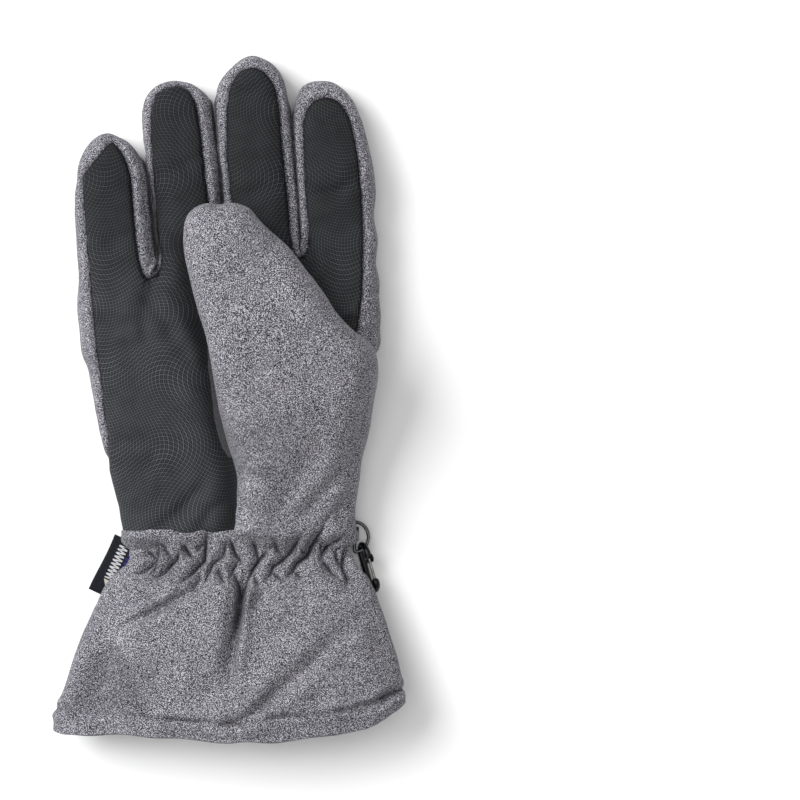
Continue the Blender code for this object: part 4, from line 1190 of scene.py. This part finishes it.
def wire(path, radii, flat, looped=False):
    """Rings of a round bar along a path that lies in the plane across flat. Open ends are rounded."""
    path, flat = np.array(path, float), np.array(flat, float)
    if looped:
        tangent = np.roll(path, -1, 0) - np.roll(path, 1, 0)
    else:
        tangent = np.gradient(path, axis=0)
    tangent /= np.linalg.norm(tangent, axis=1)[:, None]
    side = np.cross(tangent, flat)
    side /= np.linalg.norm(side, axis=1)[:, None]
    rings = [ring_round(p, r, u, flat, 20) for p, r, u in zip(path, radii, side)]
    if not looped:
        tips = []
        for at, out in ((0, -1.0), (-1, 1.0)):
            for a in np.linspace(0, math.pi / 2, 5)[1:]:
                middle = path[at] + out * tangent[at] * radii[at] * math.sin(a)
                tips.append(middle + (rings[at] - path[at]) * max(math.cos(a), 0.04))
        rings = tips[:4][::-1] + rings + tips[4:]
    return swept(rings, looped)


def build_label():
    """A ribbon folded over at its outer edge, whose two ends are sewn into the side seam."""
    corner, along, across = (np.array((*v, 0.0)) for v in (LABEL_CORNER, LABEL_ALONG, LABEL_ACROSS))
    up = np.array((0.0, 0.0, 1.0))
    thick = LABEL_THICK
    turns = np.linspace(math.pi / 2, -math.pi / 2, 9)
    fold_round = [(thick - thick * math.cos(a), thick * math.sin(a)) for a in turns]
    over = [(v, thick + 0.1 * math.sin(v / 12 * math.pi)) for v in np.linspace(LABEL_REACH, 0.9, 22)]
    under = [(v, -h) for v, h in over[::-1]]
    loop = over + fold_round + under
    sections = []
    for t in np.linspace(0, LABEL_LENGTH, 60):
        lift = LABEL_MIDDLE + 0.35 * math.sin(t / LABEL_LENGTH * math.pi) - 0.25 * math.sin(t / 4.1)
        pinch = 0.72 + 0.28 * math.sin(min(1, t / 1.2, (LABEL_LENGTH - t) / 1.2 + 0.02) * math.pi / 2)
        slide = 0.25 * math.sin(t / 5.0)
        start = corner + along * t
        ring = [start + across * (v + slide * (v < 6)) + up * (lift + h * pinch) for v, h in loop]
        sections.append(np.array(ring))
    verts, tris = swept(sections)
    label = make_mesh("label_ribbon", verts, tris, None, LABEL, "label")
    bend(label, "label_flap", "cuff", "label", 3.0, 1.0)
    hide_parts("woven_label")


def hard_piece(name, solid, material, slot, body, *nodes):
    """A piece from a solid's vertices and triangles, which rides one body and replaces frame nodes."""
    piece = make_mesh(name, *solid, None, material, slot)
    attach(piece, body)
    if nodes:
        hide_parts(*nodes)


def build_tab():
    """A strip of webbing that comes down the side seam and loops round the ring's bar."""
    x0, y0, z0 = RING_BAR
    turn = arc(1.55, math.pi * 0.62, math.pi * 2.38, 22)
    strap = [(-0.72, 8.6), (-0.72, 6.0), (-0.7, 3.2), *turn, (0.5, 3.2), (0.52, 6.0), (0.4, 8.6)]
    strap = smooth_outline(strap, 3, closed=False)
    direction = np.gradient(strap, axis=0)
    direction /= np.linalg.norm(direction, axis=1)[:, None]
    across = np.c_[-direction[:, 1], direction[:, 0]]
    half = 0.34
    upper = [(-3.0, 0.6), (-2.7, 1.0), (2.7, 1.0), (3.0, 0.6)]
    edges = upper + [(w, -h) for w, h in upper[::-1]]
    sections = []
    for p, n in zip(strap, across):
        ring = [(x0 + p[0] + n[0] * half * h, y0 + 1.3 + w, z0 + p[1] + n[1] * half * h) for w, h in edges]
        sections.append(np.array(ring))
    hard_piece("tab_webbing", swept(sections), WEBBING, "webbing", "hand", "hanger_tab")


def build_ring():
    """A wire bent to a D, its corners rounded by evening out its path."""
    bar = np.array(RING_BAR)
    turns = np.linspace(-math.pi / 2, math.pi / 2, 48)
    bow = [bar + (RING_DEPTH * math.cos(a), RING_HALF * math.sin(a), 0.0) for a in turns]
    straight = [bar + (0.0, t, 0.0) for t in np.linspace(RING_HALF, -RING_HALF, 18)[1:-1]]
    path = np.array(bow + straight)
    for _ in range(3):
        path = path * 0.5 + 0.25 * (np.roll(path, 1, 0) + np.roll(path, -1, 0))
    ring = wire(path, [RING_WIRE] * len(path), (0, 0, 1), looped=True)
    hard_piece("ring_wire", ring, GUNMETAL, "black_metal", "hanger_ring", "d_ring")


def build_hook():
    """The hook's bent wire, open beside its gate, with two cheeks and a pin at the gate's pivot."""
    long = np.array(HOOK_TOWARDS) / np.linalg.norm(HOOK_TOWARDS)
    level = np.array((-long[1], long[0], 0.0))
    wide = level * math.cos(HOOK_ROLL) + np.array((0, 0, 1.0)) * math.sin(HOOK_ROLL)
    thin = np.cross(long, wide)
    link = np.array(RING_BAR) + (LINK_DEPTH * math.cos(HOOK_LINK), RING_HALF * math.sin(HOOK_LINK), 0.0)
    centre = link + HOOK_SHIFT + long * HOOK_FROM_LINK

    def placed(points):
        return np.array([centre + long * min(a, a * HOOK_LOWER) + wide * b + thin * c for a, b, c in points])

    def disc(depths, radii):
        """A short turned solid on the gate's pivot, through rings at these depths."""
        middles = placed([(GATE_PIVOT, half, depth) for depth in depths])
        return swept([ring_round(p, r, long, wide, 28) for p, r in zip(middles, radii)])

    half, reach = HOOK_HALF_WIDTH, HOOK_HALF_LENGTH - HOOK_HALF_WIDTH
    bottom = arc(half, math.pi / 2, -math.pi / 2, 20, reach)
    top = arc(half, -math.pi / 2, -math.pi * 1.5, 20, -reach)
    back = [(a, -half) for a in np.linspace(reach, -reach, 16)[1:-1]]
    outline = [(GATE_END + 0.35, half), *bottom, *back, *top, (GATE_PIVOT - 1.0, half)]
    radii = []
    for a, b in outline:
        nose = bell(a - reach - 0.8, 2.4) * (b > 0)
        eye = bell(a + reach + half, 3.4)
        radii.append(HOOK_WIRE + 0.25 * nose - 0.36 * eye)
    body = wire(placed([(a, b, 0.0) for a, b in outline]), radii, thin)
    hard_piece("hook_body", body, GLOSS_BLACK, "black_plastic", "hook", "snap_hook")
    for i, (c0, c1) in enumerate(((-1.62, -0.78), (0.78, 1.62))):
        cheek = disc(np.linspace(c0, c1, 5), (1.4, 1.75, 1.85, 1.75, 1.4))
        hard_piece("cheek_%d" % i, cheek, GLOSS_BLACK, "black_plastic", "hook")
    pin = disc((-1.9, -1.84, 0.0, 1.84, 1.9), (0.35, 0.55, 0.55, 0.55, 0.35))
    hard_piece("hook_pin", pin, GUNMETAL, "black_metal", "hook", "gate_pin")
    stations = np.linspace(GATE_PIVOT, GATE_END - 0.2, 16)
    knuckle = bell(stations - GATE_PIVOT, 1.4)
    nib = bell(stations - 6, 1.2)
    gate = wire(placed([(a, half, 0.0) for a in stations]), 0.62 + 0.2 * knuckle + 0.12 * nib, thin)
    hard_piece("gate_bar", gate, STEEL, "black_plastic", "gate", "hook_gate")


# --- linings, stage and camera ---


def dress_linings():
    """Gives the frame's own linings their fleece."""
    for name, node in frame["nodes"].items():
        if "lining" in name:
            node.data.materials.clear()
            node.data.materials.append(FLEECE)


def build_stage():
    """A pale floor, a pale sky and three soft lights."""
    mesh = bpy.data.meshes.new("floor")
    corners = [(-3.0, -3.0, 0.0), (3.0, -3.0, 0.0), (3.0, 3.0, 0.0), (-3.0, 3.0, 0.0)]
    mesh.from_pydata(corners, [], [(0, 1, 2, 3)])
    floor = bpy.data.objects.new("floor", mesh)
    floor.location = (0, 0, -0.0003)
    bpy.context.scene.collection.objects.link(floor)
    made = Nodes("pale_floor", 0.9)
    made.colour(made.ramp(made.noise(3.0), ((0.0, (0.93, 0.93, 0.93)), (1.0, (0.95, 0.95, 0.95)))))
    floor.data.materials.append(made.material)

    world = bpy.data.worlds.new("studio")
    bpy.context.scene.world = world
    world.use_nodes = True
    sky = world.node_tree.nodes["Background"].inputs
    sky["Color"].default_value = (1, 1, 1, 1)
    sky["Strength"].default_value = 0.33
    for name, place, size, power in (
        ("key", (-1.25, 0.62, 1.5), 1.3, 46.0),
        ("fill", (1.1, -0.5, 1.5), 1.0, 1.0),
        ("top", (0.0, 0.0, 2.2), 1.4, 15.0),
    ):
        data = bpy.data.lights.new(name, "AREA")
        data.size = size
        data.energy = power
        light = bpy.data.objects.new(name, data)
        light.location = place
        light.rotation_euler = (-Vector(place)).to_track_quat("-Z", "Y").to_euler()
        bpy.context.scene.collection.objects.link(light)


# Where the camera looks and how much it sees across, at the height of the glove's front.
VIEW_CENTRE = (0.0708, -0.0006)
VIEW_HEIGHT = 0.012
VIEW_WIDTH = 0.336
LENS = 180.0
SENSOR = 36.0


def build_camera():
    """Looks straight down on the glove, whose fingertips point up in the picture."""
    data = bpy.data.cameras.new("camera")
    data.lens = LENS
    data.sensor_width = SENSOR
    camera = bpy.data.objects.new("camera", data)
    camera.location = (*VIEW_CENTRE, VIEW_HEIGHT + VIEW_WIDTH * LENS / SENSOR)
    bpy.context.scene.collection.objects.link(camera)
    bpy.context.scene.camera = camera
    bpy.context.scene.view_settings.view_transform = "Standard"


build_hand()
build_thumb()
build_cuff_inside(build_tube())
build_label()
build_tab()
build_ring()
build_hook()
dress_linings()
build_stage()
build_camera()
